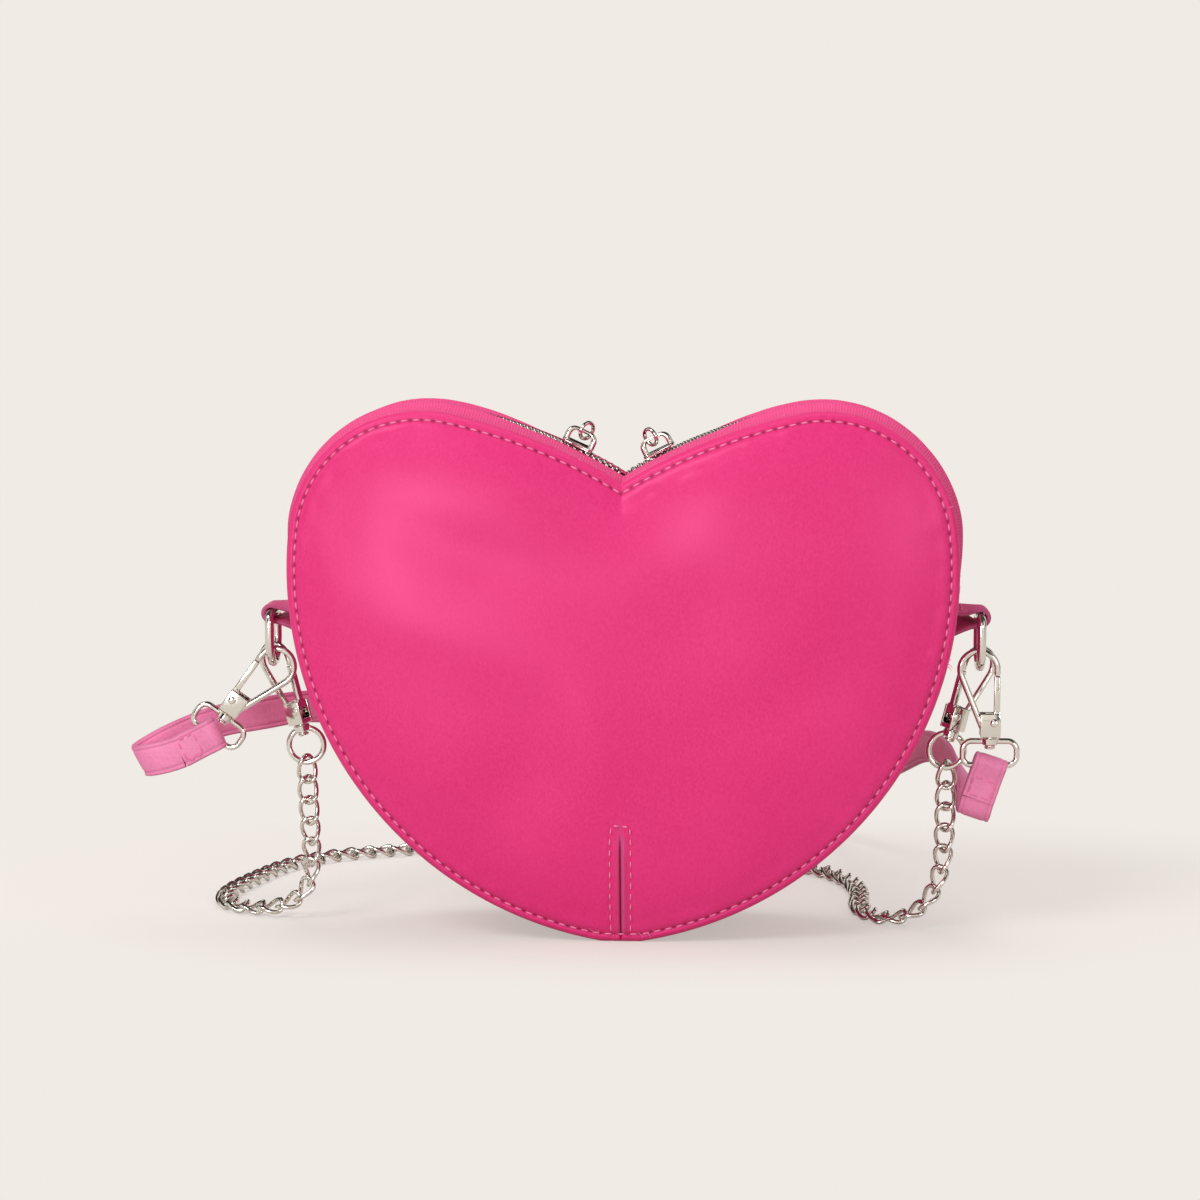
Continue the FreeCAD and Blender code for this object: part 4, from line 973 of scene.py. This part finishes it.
class PURSE_OT_sliders(bpy.types.Operator):
    """Zip sliders and their ring pulls"""
    bl_idname = "purse.sliders"
    bl_label = "Sliders and pulls"

    def execute(self, context):
        for name, run, hand in (("left", 17.0, -1), ("right", 13.0, 1)):
            place, tilt = on_track(run, hand)
            matrix = Matrix.Translation(place) @ tilt @ Matrix.Diagonal((hand, 1, 1, 1))
            for shape, piece, node in ((self.slider, "zip_slider_", "slider_"),
                                       (self.pull, "ring_pull_", "pull_")):
                bm = bmesh.new()
                shape(bm)
                finish_piece(bm, piece + name, nickel_plate(), "nickel", node + name, body=node + name,
                             matrix=matrix)
        return {"FINISHED"}

    def slider(self, bm):
        """Two plates with folded sides, the post between them and the crown that the pull hangs on."""
        for low, high in ((1.5, 2.4), (-2.4, -1.5)):
            self.plate(bm, low, high)
        for hand in (-1, 1):
            for low, high in ((1.22, 1.7), (-1.7, -1.22)):
                self.lip(bm, hand, low, high)
        slab(bm, (-4.5, -0.55, -1.6), (-2.9, 0.55, 1.6), 0.15)
        half, bend = 4.1, 2.2
        points = [Vector((-half, 0, 2.0)), Vector((-half, 0, 3.0))]
        points += quarters((((bend - half, 0, 4.0), 180), ((half - bend, 0, 4.0), 90)), X, Z, bend, 8)
        points += [Vector((half, 0, 3.0)), Vector((half, 0, 2.0))]
        tube(bm, points, [0.55 + 0.4 * min(1.0, abs(point.x) / half) ** 3 for point in points], Y)

    def pull(self, bm):
        """A ring that leans back on the crown."""
        lean, twist = math.radians(68), math.radians(40)
        back = 2.45 * math.cos(twist) - 0.45 - 0.55 - 0.1
        lift = back / math.cos(twist) / math.tan(lean)
        across = Vector((-math.sin(twist), math.cos(twist), 0))
        ring = sweep((-back * math.tan(twist), back, 6.2 + lift), across, Z, 2.6, 0, 360, 36)[:-1]
        tube(bm, ring, 0.6, across.cross(Z), closed=True)

    def plate(self, bm, low, high):
        """A tapered plate with rounded corners."""
        ring = ((5, 2.2), (3.8, 3.4), (-3.8, 5.4), (-5, 4.2), (-5, -4.2), (-3.8, -5.4), (3.8, -3.4), (5, -2.2))
        verts = loft(bm, [[Vector((x, y, low)) for x, y in ring]], True)[0]
        face = bmesh.ops.contextual_create(bm, geom=verts)["faces"]
        made = bmesh.ops.extrude_face_region(bm, geom=face)["geom"]
        top = [item for item in made if isinstance(item, bmesh.types.BMVert)]
        bmesh.ops.translate(bm, vec=(0, 0, high - low), verts=top)
        round_edges(bm, verts + top, 0.28, 3)

    def lip(self, bm, hand, low, high):
        """The folded side of a plate, along its taper, which clears the teeth where the rows stand apart."""
        a, b = Vector((-3.9, hand * 5.1, 0)), Vector((3.9, hand * 3.1, 0))
        span = b - a
        before = set(bm.verts)
        slab(bm, (-span.length / 2, -0.3, low), (span.length / 2, 0.3, high), 0.12, 2)
        matrix = Matrix.Translation((a + b) / 2) @ Matrix.Rotation(math.atan2(span.y, span.x), 4, "Z")
        bmesh.ops.transform(bm, matrix=matrix, verts=[vert for vert in bm.verts if vert not in before])


class PURSE_OT_tabs(bpy.types.Operator):
    """Leather tabs sewn to the sides, with the D-rings in them"""
    bl_idname = "purse.tabs"
    bl_label = "Tabs and D-rings"

    def execute(self, context):
        for name, hand in (("left", -1), ("right", 1)):
            mirror = Matrix.Diagonal((hand, 1, 1, 1))
            bm = bmesh.new()
            upper, lower = [[Vector((x, 0, z)) for x, z in points] for points in (TAB_UPPER, TAB_LOWER)]
            path = upper + sweep((BAR_X, 0, TAB_HEIGHT), X, Z, 2.35, 90, -90, 18) + lower
            ribbon(bm, path, [Y] * len(path), TAB_WIDTH, 1.3, corner=0.45, crown=0.06)
            for vert in bm.verts:
                vert.co = self.settled(vert.co)
            finish_piece(bm, "leather_tab_" + name, tab_leather(), "tab_leather", "tab_" + name, matrix=mirror)
            stitches = bmesh.new()
            for z, out in ((100.42, Vector((0.05, 0, 1))), (92.42, Vector((0.42, 0, -0.9)))):
                holes = [self.settled(Vector((102.4, y, z))) for y in (-4.2, -1.4, 1.4, 4.2)]
                sew(stitches, holes, [out] * len(holes), size_of("thread"), sink=0.08)
            finish_stitches(stitches, "tab_stitching_" + name, "tab_leather", mirror)
            bm = bmesh.new()
            corners = [((BAR_X, y, TAB_HEIGHT - 2.5), start) for y, start in ((-5.0, 180), (5.0, 90))]
            ring = quarters(corners, Y, Z, 2.5, 8)
            ring += sweep((BAR_X, 0, TAB_HEIGHT - 8.0), Y, Z, 7.5, 0, -180, 40)
            tube(bm, ring, 1.4, X, sides=20, closed=True)
            finish_piece(bm, "wire_d_ring_" + name, nickel_plate(), "nickel", "d_ring_" + name,
                         body="d_ring_" + name, matrix=mirror)
        return {"FINISHED"}

    def settled(self, place):
        """The upper layer curls down at its front edge, and the lower one rises to it at the rear."""
        x, y, z = place
        behind = y / TAB_WIDTH + 0.5
        free = clamp((107.4 - x) / 4.0)
        if z > TAB_HEIGHT:
            return Vector((x, y, z - 1.7 * (1 - behind) * free))
        return Vector((x, y, z + (98.2 - z) * behind ** 1.5 * free))


def hook_place(name):
    """Where a hook stands: its swivel axis is local Z, and its gate's pin is local Y. The eye isn't turned."""
    swivel, gate = joints[f"hook_{name}_swivel"], joints[f"gate_{name}_open"]
    axis = Vector(swivel["axis"]).normalized()
    frames = []
    for across in (Vector(gate["axis"]).normalized(), Y):
        first = across.cross(axis).normalized()
        turn = Matrix((first, axis.cross(first), axis)).transposed().to_4x4()
        frames.append(Matrix.Translation(Vector(swivel["pos_m"]) / MM) @ turn)
    return frames


class PURSE_OT_hooks(bpy.types.Operator):
    """Snap hooks: frame, gate, pin, spring and swivel eye"""
    bl_idname = "purse.hooks"
    bl_label = "Snap hooks"

    def execute(self, context):
        for name, hand in (("strap_left", -1), ("strap_right", 1), ("chain_left", 1), ("chain_right", -1)):
            placed, eye_placed = hook_place(name)
            mirror = Matrix.Diagonal((hand, 1, 1, 1))
            for kind, shape, body in (("frame", self.frame, "hook_"), ("gate", self.gate, "gate_"),
                                      ("pin", self.pin, "hook_"), ("spring", self.spring, "hook_")):
                bm = bmesh.new()
                shape(bm)
                metal, slot = nickel_plate(), "nickel"
                if kind == "spring":
                    metal, slot = spring_wire(), "spring_steel"
                finish_piece(bm, f"snap_{kind}_{name}", metal, slot, f"hook_{kind}_{name}", body=body + name,
                             matrix=placed @ mirror)
            bm = bmesh.new()
            self.eye(bm, name.startswith("strap"))
            finish_piece(bm, "snap_eye_" + name, nickel_plate(), "nickel", "swivel_eye_" + name,
                         matrix=eye_placed @ mirror)
        return {"FINISHED"}

    def frame(self, bm):
        """The slotted block, the bow wire that ends in the nose, and the stem under the block."""
        for y in (-2.125, 2.125):
            slab(bm, (-3.1, y - 0.375, 0.0), (3.1, y + 0.375, 7.2), 0.3)
        slab(bm, (-3.04, -2.38, 0.06), (-1.1, 2.38, 7.1), 0.5)
        slab(bm, (-2.96, -2.3, 0.03), (2.96, 2.3, 1.7), 0.5)
        radius = 5.6
        centre, foot = Vector((GATE_X - radius, 0, 20.5)), Vector((-2.0, 0, 1.9))
        reach = foot - centre
        turn = math.degrees(math.atan2(reach.z, reach.x) - math.acos(radius / reach.length))
        bow = sweep(centre, X, Z, radius, turn + 360 if turn < 0 else turn, 0, 40)
        wire = [foot.lerp(bow[0], k / 6) for k in range(6)] + bow
        wire += [Vector((GATE_X, 0, z)) for z in (20.0, 19.2, 18.8)]
        tube(bm, wire, [1.0] * (len(wire) - 1) + [0.85], Y, sides=18)
        turned(bm, ((0, -3.7), (1.45, -3.7), (1.7, -3.45), (1.7, -3.1), (1.5, -2.9), (1.2, -2.9), (1.2, 1.0),
                    (0, 1.0)), Vector(), Z)

    def gate(self, bm):
        """The sprung bar with its eye round the pin."""
        slab(bm, (1.05, -1.0, 5.0), (2.95, 1.0, 18.55), 0.35)
        for y in (-1.125, 1.125):
            slab(bm, (1.05, y - 0.375, 4.4), (2.95, y + 0.375, 7.8), 0.15, 2)
            turned(bm, ((0.76, -0.375), (1.55, -0.375), (1.65, -0.28), (1.65, 0.28), (1.55, 0.375),
                        (0.76, 0.375), (0.76, -0.375)), GATE_PIN + Y * y, Y)

    def pin(self, bm):
        """The rivet with its two flat domed heads."""
        turned(bm, ((0, -2.95), (0.7, -2.9), (1.1, -2.75), (1.3, -2.5), (0.7, -2.45), (0.7, 2.45), (1.3, 2.5),
                    (1.1, 2.75), (0.7, 2.9), (0, 2.95)), GATE_PIN, Y)

    def spring(self, bm):
        """One and a half turns of thin wire round the pin."""
        turns = [(3 * math.pi * i / 48, 1.05 * (i / 48 - 0.5)) for i in range(49)]
        tube(bm, [GATE_PIN + Vector((math.cos(t), y, math.sin(t))) for t, y in turns], 0.13, Y, sides=8)

    def eye(self, bm, with_strap):
        """The collar round the stem and the ring that the strap or the chain hangs in."""
        turned(bm, ((1.4, -2.5), (2.2, -2.5), (2.5, -2.2), (2.5, -0.6), (2.2, -0.3), (1.4, -0.3), (1.4, -2.5)),
               Vector(), Z)
        if with_strap:
            corners = ((5.4, 2.8, 90), (5.4, 4.6, 0), (-5.4, 4.6, -90), (-5.4, 2.8, -180))
            ring = quarters([((x, 0, EYE_TOP - down), start) for x, down, start in corners], X, Z, 2.8, 10)
        else:
            ring = sweep((0, 0, EYE_TOP - 5.4), X, Z, 5.4, 90, -270, 48)[:-1]
        tube(bm, ring, 0.9, Y, sides=18, closed=True)


def route_line(points):
    """Points of the smooth spline that has these control points."""
    curve = bpy.data.curves.new("route", "CURVE")
    curve.dimensions = "3D"
    curve.resolution_u = 24
    spline = curve.splines.new("NURBS")
    spline.points.add(len(points) - 1)
    for knot, point in zip(spline.points, points):
        knot.co = (*point, 1.0)
    spline.order_u = 3
    spline.use_endpoint_u = True
    piece = bpy.data.objects.new("route", curve)
    mesh = bpy.data.meshes.new_from_object(piece)
    line = np.array([vert.co for vert in mesh.vertices])
    bpy.data.meshes.remove(mesh)
    bpy.data.objects.remove(piece)
    bpy.data.curves.remove(curve)
    return line


def marks_on(line):
    """Distance of each point of a line from its start."""
    return np.concatenate(([0.0], np.cumsum(np.linalg.norm(np.diff(line, axis=0), axis=1))))


def at_runs(line, values, runs):
    """What goes with the points of a line, as their places or faces, at distances from its start."""
    marks = marks_on(line)
    return [Vector(row) for row in np.stack([np.interp(runs, marks, part) for part in values.T], axis=1)]


class PURSE_OT_chain(bpy.types.Operator):
    """Twisted-link chain from one chain hook over the floor to the other"""
    bl_idname = "purse.chain"
    bl_label = "Chain"

    def execute(self, context):
        line, faces = route_line(CHAIN_ROUTE), route_line(CHAIN_FACE)
        count, wire = context.scene.purse_sizes.links, size_of("link_wire")
        long, wide = [(size_of(name) - wire) / 2 for name in ("link_length", "link_width")]
        pitch = (marks_on(line)[-1] - 2 * long) / (count - 1)
        runs = np.array([long + i * pitch for i in range(count)])
        behind, places, ahead = [at_runs(line, line, runs + shift) for shift in (-pitch / 2, 0, pitch / 2)]
        turns = [2 * math.pi * k / 26 for k in range(26)]
        loop = [Vector((long * math.cos(t), wide * math.sin(t), 1.2 * math.sin(2 * t))) for t in turns]
        bm = bmesh.new()
        for place, up, front, back in zip(places, at_runs(line, faces, runs), ahead, behind):
            along = (front - back).normalized()
            up = (up - along * up.dot(along)).normalized()
            turn = Matrix((along, up.cross(along), up)).transposed()
            middle = (front + back + place * 2) / 4
            tube(bm, [middle + turn @ point for point in loop], wire / 2, up, sides=10, closed=True)
        piece = finish_piece(bm, "twisted_chain", nickel_plate(), "nickel", "chain_left_drop", "chain_floor",
                             "chain_right_drop", sharp=70)
        return {"FINISHED"}


class PURSE_OT_strap(bpy.types.Operator):
    """Leather strap: sewn ends round the strap hooks' eyes, the free runs and the tied bundle behind"""
    bl_idname = "purse.strap"
    bl_label = "Strap"

    def execute(self, context):
        knots = [*STRAP_LEFT, *self.bundle(), *STRAP_RIGHT]
        between = len(knots) - len(STRAP_FIRST_WAYS) - len(STRAP_LAST_WAYS)
        line = route_line(knots)
        ways = route_line([*STRAP_FIRST_WAYS, *((0, 0, -1),) * between, *STRAP_LAST_WAYS])
        total = marks_on(line)[-1]
        steps = int(total / 1.6)
        runs = [total * k / steps for k in range(steps + 1)]
        piece = self.leather("leather_strap", at_runs(line, line, runs), at_runs(line, ways, runs), None,
                             "strap_run_left", "strap_run_right", "strap_hank")
        ends = [self.end(name, skew) for name, skew in (("left", 26), ("right", 18))]
        ends + [self.tie()]
        return {"FINISHED"}

    def bundle(self):
        """Knots of the runs laid to and fro behind the purse."""
        knots = []
        for i in range(HANK_RUNS):
            y = HANK_FRONT + i * HANK_PITCH
            way = 1 if i % 2 == 0 else -1
            places = [(-way * HANK_HALF, y), (0.0, y + 0.15 * math.sin(i * 2.2)), (way * HANK_HALF, y)]
            if i < HANK_RUNS - 1:
                places += [(way * HANK_TURNS[i], y), (way * HANK_TURNS[i], y + HANK_PITCH)]
            knots += [(*place, HANK_HEIGHT) for place in places]
        return knots

    def leather(self, name, points, across, matrix, *nodes):
        """A length of the strap with its pressed lines."""
        bm = bmesh.new()
        ribbon(bm, points, across, size_of("strap_width"), size_of("strap_thickness"), corner=0.55, crown=0.1,
               groove=0.16)
        return finish_piece(bm, name, strap_leather(), "strap_leather", *nodes, matrix=matrix)

    def end(self, name, skew):
        """The strap folded round the eye's lower bar, a little askew, and sewn through."""
        width, thickness = size_of("strap_width"), size_of("strap_thickness")
        low = EYE_TOP - 7.4
        bar = Matrix.Translation((0, 0, low))
        askew = bar @ Matrix.Rotation(math.radians(skew), 4, "Y") @ bar.inverted()
        placed = hook_place("strap_" + name)[1] @ askew
        flat = thickness / 2 + 0.02
        front = [Vector((0, -flat, low - 11.0 + k * 1.5)) for k in range(5)]
        front.append(Vector((0, -flat - 0.35, low - 2.6)))
        bend = sweep((0, 0, low), Y, Z, 1.25 + thickness / 2, 180, 0, 20)
        path = front + bend + [Vector((0, -p.y, p.z)) for p in front[::-1]]
        piece = self.leather("strap_fold_" + name, path, [X] * len(path), placed, "strap_end_" + name)
        stitches = bmesh.new()
        half = width / 2 - 1.5
        outline = ((-half, 10.0), (-half, 7.2), (-half, 4.6), (0, 4.4), (half, 4.6), (half, 7.2), (half, 10.0),
                   (0, 10.0))
        for face in (-1, 1):
            holes = [Vector((x, face * (thickness + 0.1), low - down)) for x, down in outline]
            sew(stitches, holes, [Y * face] * len(holes), size_of("thread") * 0.85, closed=True, sink=0.06)
        finish_stitches(stitches, "strap_stitching_" + name, "strap_leather", placed).parent = piece
        return piece

    def tie(self):
        """The ribbon round the bundle's middle."""
        bm = bmesh.new()
        bend = 1.2
        low, high = 0.4 + bend, 12.0 - bend
        front = HANK_FRONT - 1.55 + bend
        back = HANK_FRONT + (HANK_RUNS - 1) * HANK_PITCH + 1.55 - bend
        corners = ((back, high, 90), (back, low, 0), (front, low, -90), (front, high, -180))
        path = quarters([((0, y, z), start) for y, z, start in corners], Y, Z, bend, 5)
        ribbon(bm, path, [X] * len(path), 9.0, 0.8, closed=True, corner=0.3)
        return finish_piece(bm, "ribbon_tie", woven_tape(), "tie", "strap_tie")


class PURSE_OT_inside(bpy.types.Operator):
    """Linings and stiffening boards inside the purse"""
    bl_idname = "purse.inside"
    bl_label = "Inside"

    def execute(self, context):
        for node in ("front_board", "rear_board"):
            paint(node, stiff_board())
        table = outline_reach()
        base = heart_ring(7.6)[::2]
        for side, name in ((-1, "front"), (1, "rear")):
            bm = bmesh.new()
            rows = []
            for share in np.linspace(1.0, 0.02, 16):
                ring = drawn_in(base, share)
                rows.append([])
                for (x, z), under in zip(ring, drawn_in(ring, 1.04)):
                    depth = HALF_DEPTH - 3.4 + size_of("crown") * dome_rise(table, *under)
                    slack = 0.25 * waver(x * 0.06, side * 4.0, z * 0.06)
                    rows[-1].append(Vector((x, side * (depth + slack), z)))
            close_middle(bm, loft(bm, rows, True)[-1])
            face_towards(bm, lambda middle: Y * -side)
            finish_sheet(bm, "woven_lining_" + name, plain_lining(), "lining", name + "_lining", 0.5,
                         (0.186, 0.146), name + "_board", area=0.0185)
        bm = bmesh.new()
        loft(bm, [[Vector((x, -17.0 + 34.0 * k / 12, z)) for x, z in side_row(2.75, GUSSET_TOP, 60)]
                  for k in range(13)])
        face_towards(bm, lambda middle: Vector((-middle.x, 0, GUSSET_CENTRE - middle.z)))
        finish_sheet(bm, "woven_lining_gusset", plain_lining(), "lining", "gusset_lining", 0.3, (0.034, 0.28),
                     "lower_gusset")
        return {"FINISHED"}


def aim_at(item, place, target):
    """Puts a lamp or camera at a place and points it at a target."""
    item.location = place
    item.rotation_euler = (Vector(target) - item.location).to_track_quat("-Z", "Y").to_euler()
    return item


class PURSE_OT_stage(bpy.types.Operator):
    """Pale floor and surround, soft light and the camera"""
    bl_idname = "purse.stage"
    bl_label = "Stage"

    def execute(self, context):
        scene = context.scene
        scene.view_settings.view_transform = "Standard"
        self.floor()
        self.surround(scene)
        self.lamp("key_light", (-1.1, -1.2, 1.8), (0, 0, 0.08), 1.0, 19.0)
        self.lamp("front_light", (-0.5, -1.5, 0.12), (0, 0, 0.1), 0.45, 7.0)
        self.lamp("fill_light", (0.85, -1.45, 0.25), (0, 0, 0.1), 0.45, 3.4)
        self.lamp("top_light", (0.1, 0.5, 1.9), (0, 0, 0.05), 1.2, 10.0).visible_glossy = False
        lens = bpy.data.cameras.new("camera")
        lens.sensor_width = 36.0
        lens.lens = 88.9
        turn, distance = math.radians(3.0), 0.9
        target = Vector((-0.0075, 0, 0.1012))
        place = (target.x + distance * math.sin(turn), -distance * math.cos(turn), 0.206)
        scene.camera = aim_at(put("camera", lens), place, target)
        return {"FINISHED"}

    def floor(self):
        """A wide sheet of paper."""
        bm = bmesh.new()
        bmesh.ops.create_grid(bm, x_segments=1, y_segments=1, size=4.0)
        mesh = bpy.data.meshes.new("paper_floor")
        bm.to_mesh(mesh)
        bm.free()
        mesh.materials.append(matt_paper())
        put("paper_floor", mesh)

    def surround(self, scene):
        """Even pale light. Reflections see bright walls with dark gaps and a dark ceiling, which give metal its
        dark lines."""
        scene.world = bpy.data.worlds.new("surround")
        scene.world.use_nodes = True
        tree = scene.world.node_tree
        tree.nodes.clear()
        way = add(tree, "SeparateXYZ", None, i0=add(tree, "TexCoord", "Generated")).outputs
        swing = calc(tree, "MULTIPLY_ADD", calc(tree, "ARCTAN2", way["X"], way["Y"]), 5.0, 4.2)
        walls = fit(tree, calc(tree, "SINE", swing), -0.35, 0.05)
        open_wall = calc(tree, "MULTIPLY", walls, fit(tree, way["Z"], 0.5, 0.75, 1.0, 0.1))
        studio = mix(tree, open_wall, "221F1C", colours().ground)
        room, mirror, seen = [add(tree, "Background", Color=tone, Strength=strength) for tone, strength in (
            ("FFFDFB", 0.53), (studio, 1.15), (colours().ground, 1.0))]
        path = add(tree, "LightPath", None).outputs
        either = calc(tree, "MAXIMUM", path["Is Camera Ray"], path["Is Transmission Ray"])
        plain = add(tree, "MixShader", i0=either, i1=room, i2=seen)
        add(tree, "OutputWorld", None,
            Surface=add(tree, "MixShader", i0=path["Is Glossy Ray"], i1=plain, i2=mirror))

    def lamp(self, name, place, target, size, power):
        light = bpy.data.lights.new(name, "AREA")
        light.shape = "DISK"
        light.size = size
        light.energy = power
        return aim_at(put(name, light), place, target)


class PURSE_PT_sidebar(bpy.types.Panel):
    """Lists the steps and the values of the purse"""
    bl_idname = "PURSE_PT_sidebar"
    bl_label = "Heart shaped purse"
    bl_space_type = "VIEW_3D"
    bl_region_type = "UI"
    bl_category = "Purse"

    def draw(self, context):
        layout = self.layout
        for step in STEPS:
            layout.operator(step.bl_idname)
        for group in (context.scene.purse_sizes, context.scene.purse_colours):
            for key in group.__annotations__:
                layout.prop(group, key)


STEPS = (PURSE_OT_stage, PURSE_OT_chain, PURSE_OT_strap, PURSE_OT_panels, PURSE_OT_gusset, PURSE_OT_zip,
         PURSE_OT_sliders, PURSE_OT_tabs, PURSE_OT_hooks, PURSE_OT_inside)
CLASSES = (PurseSizes, PurseColours) + STEPS + (PURSE_PT_sidebar,)


def register():
    for item in CLASSES:
        bpy.utils.register_class(item)
    bpy.types.Scene.purse_sizes = bpy.props.PointerProperty(type=PurseSizes)
    bpy.types.Scene.purse_colours = bpy.props.PointerProperty(type=PurseColours)


def unregister():
    del bpy.types.Scene.purse_colours
    del bpy.types.Scene.purse_sizes
    for item in reversed(CLASSES):
        bpy.utils.unregister_class(item)


def main():
    register()
    for step in STEPS:
        getattr(bpy.ops.purse, step.bl_idname.split(".")[1])()


if __name__ == "__main__":
    main()
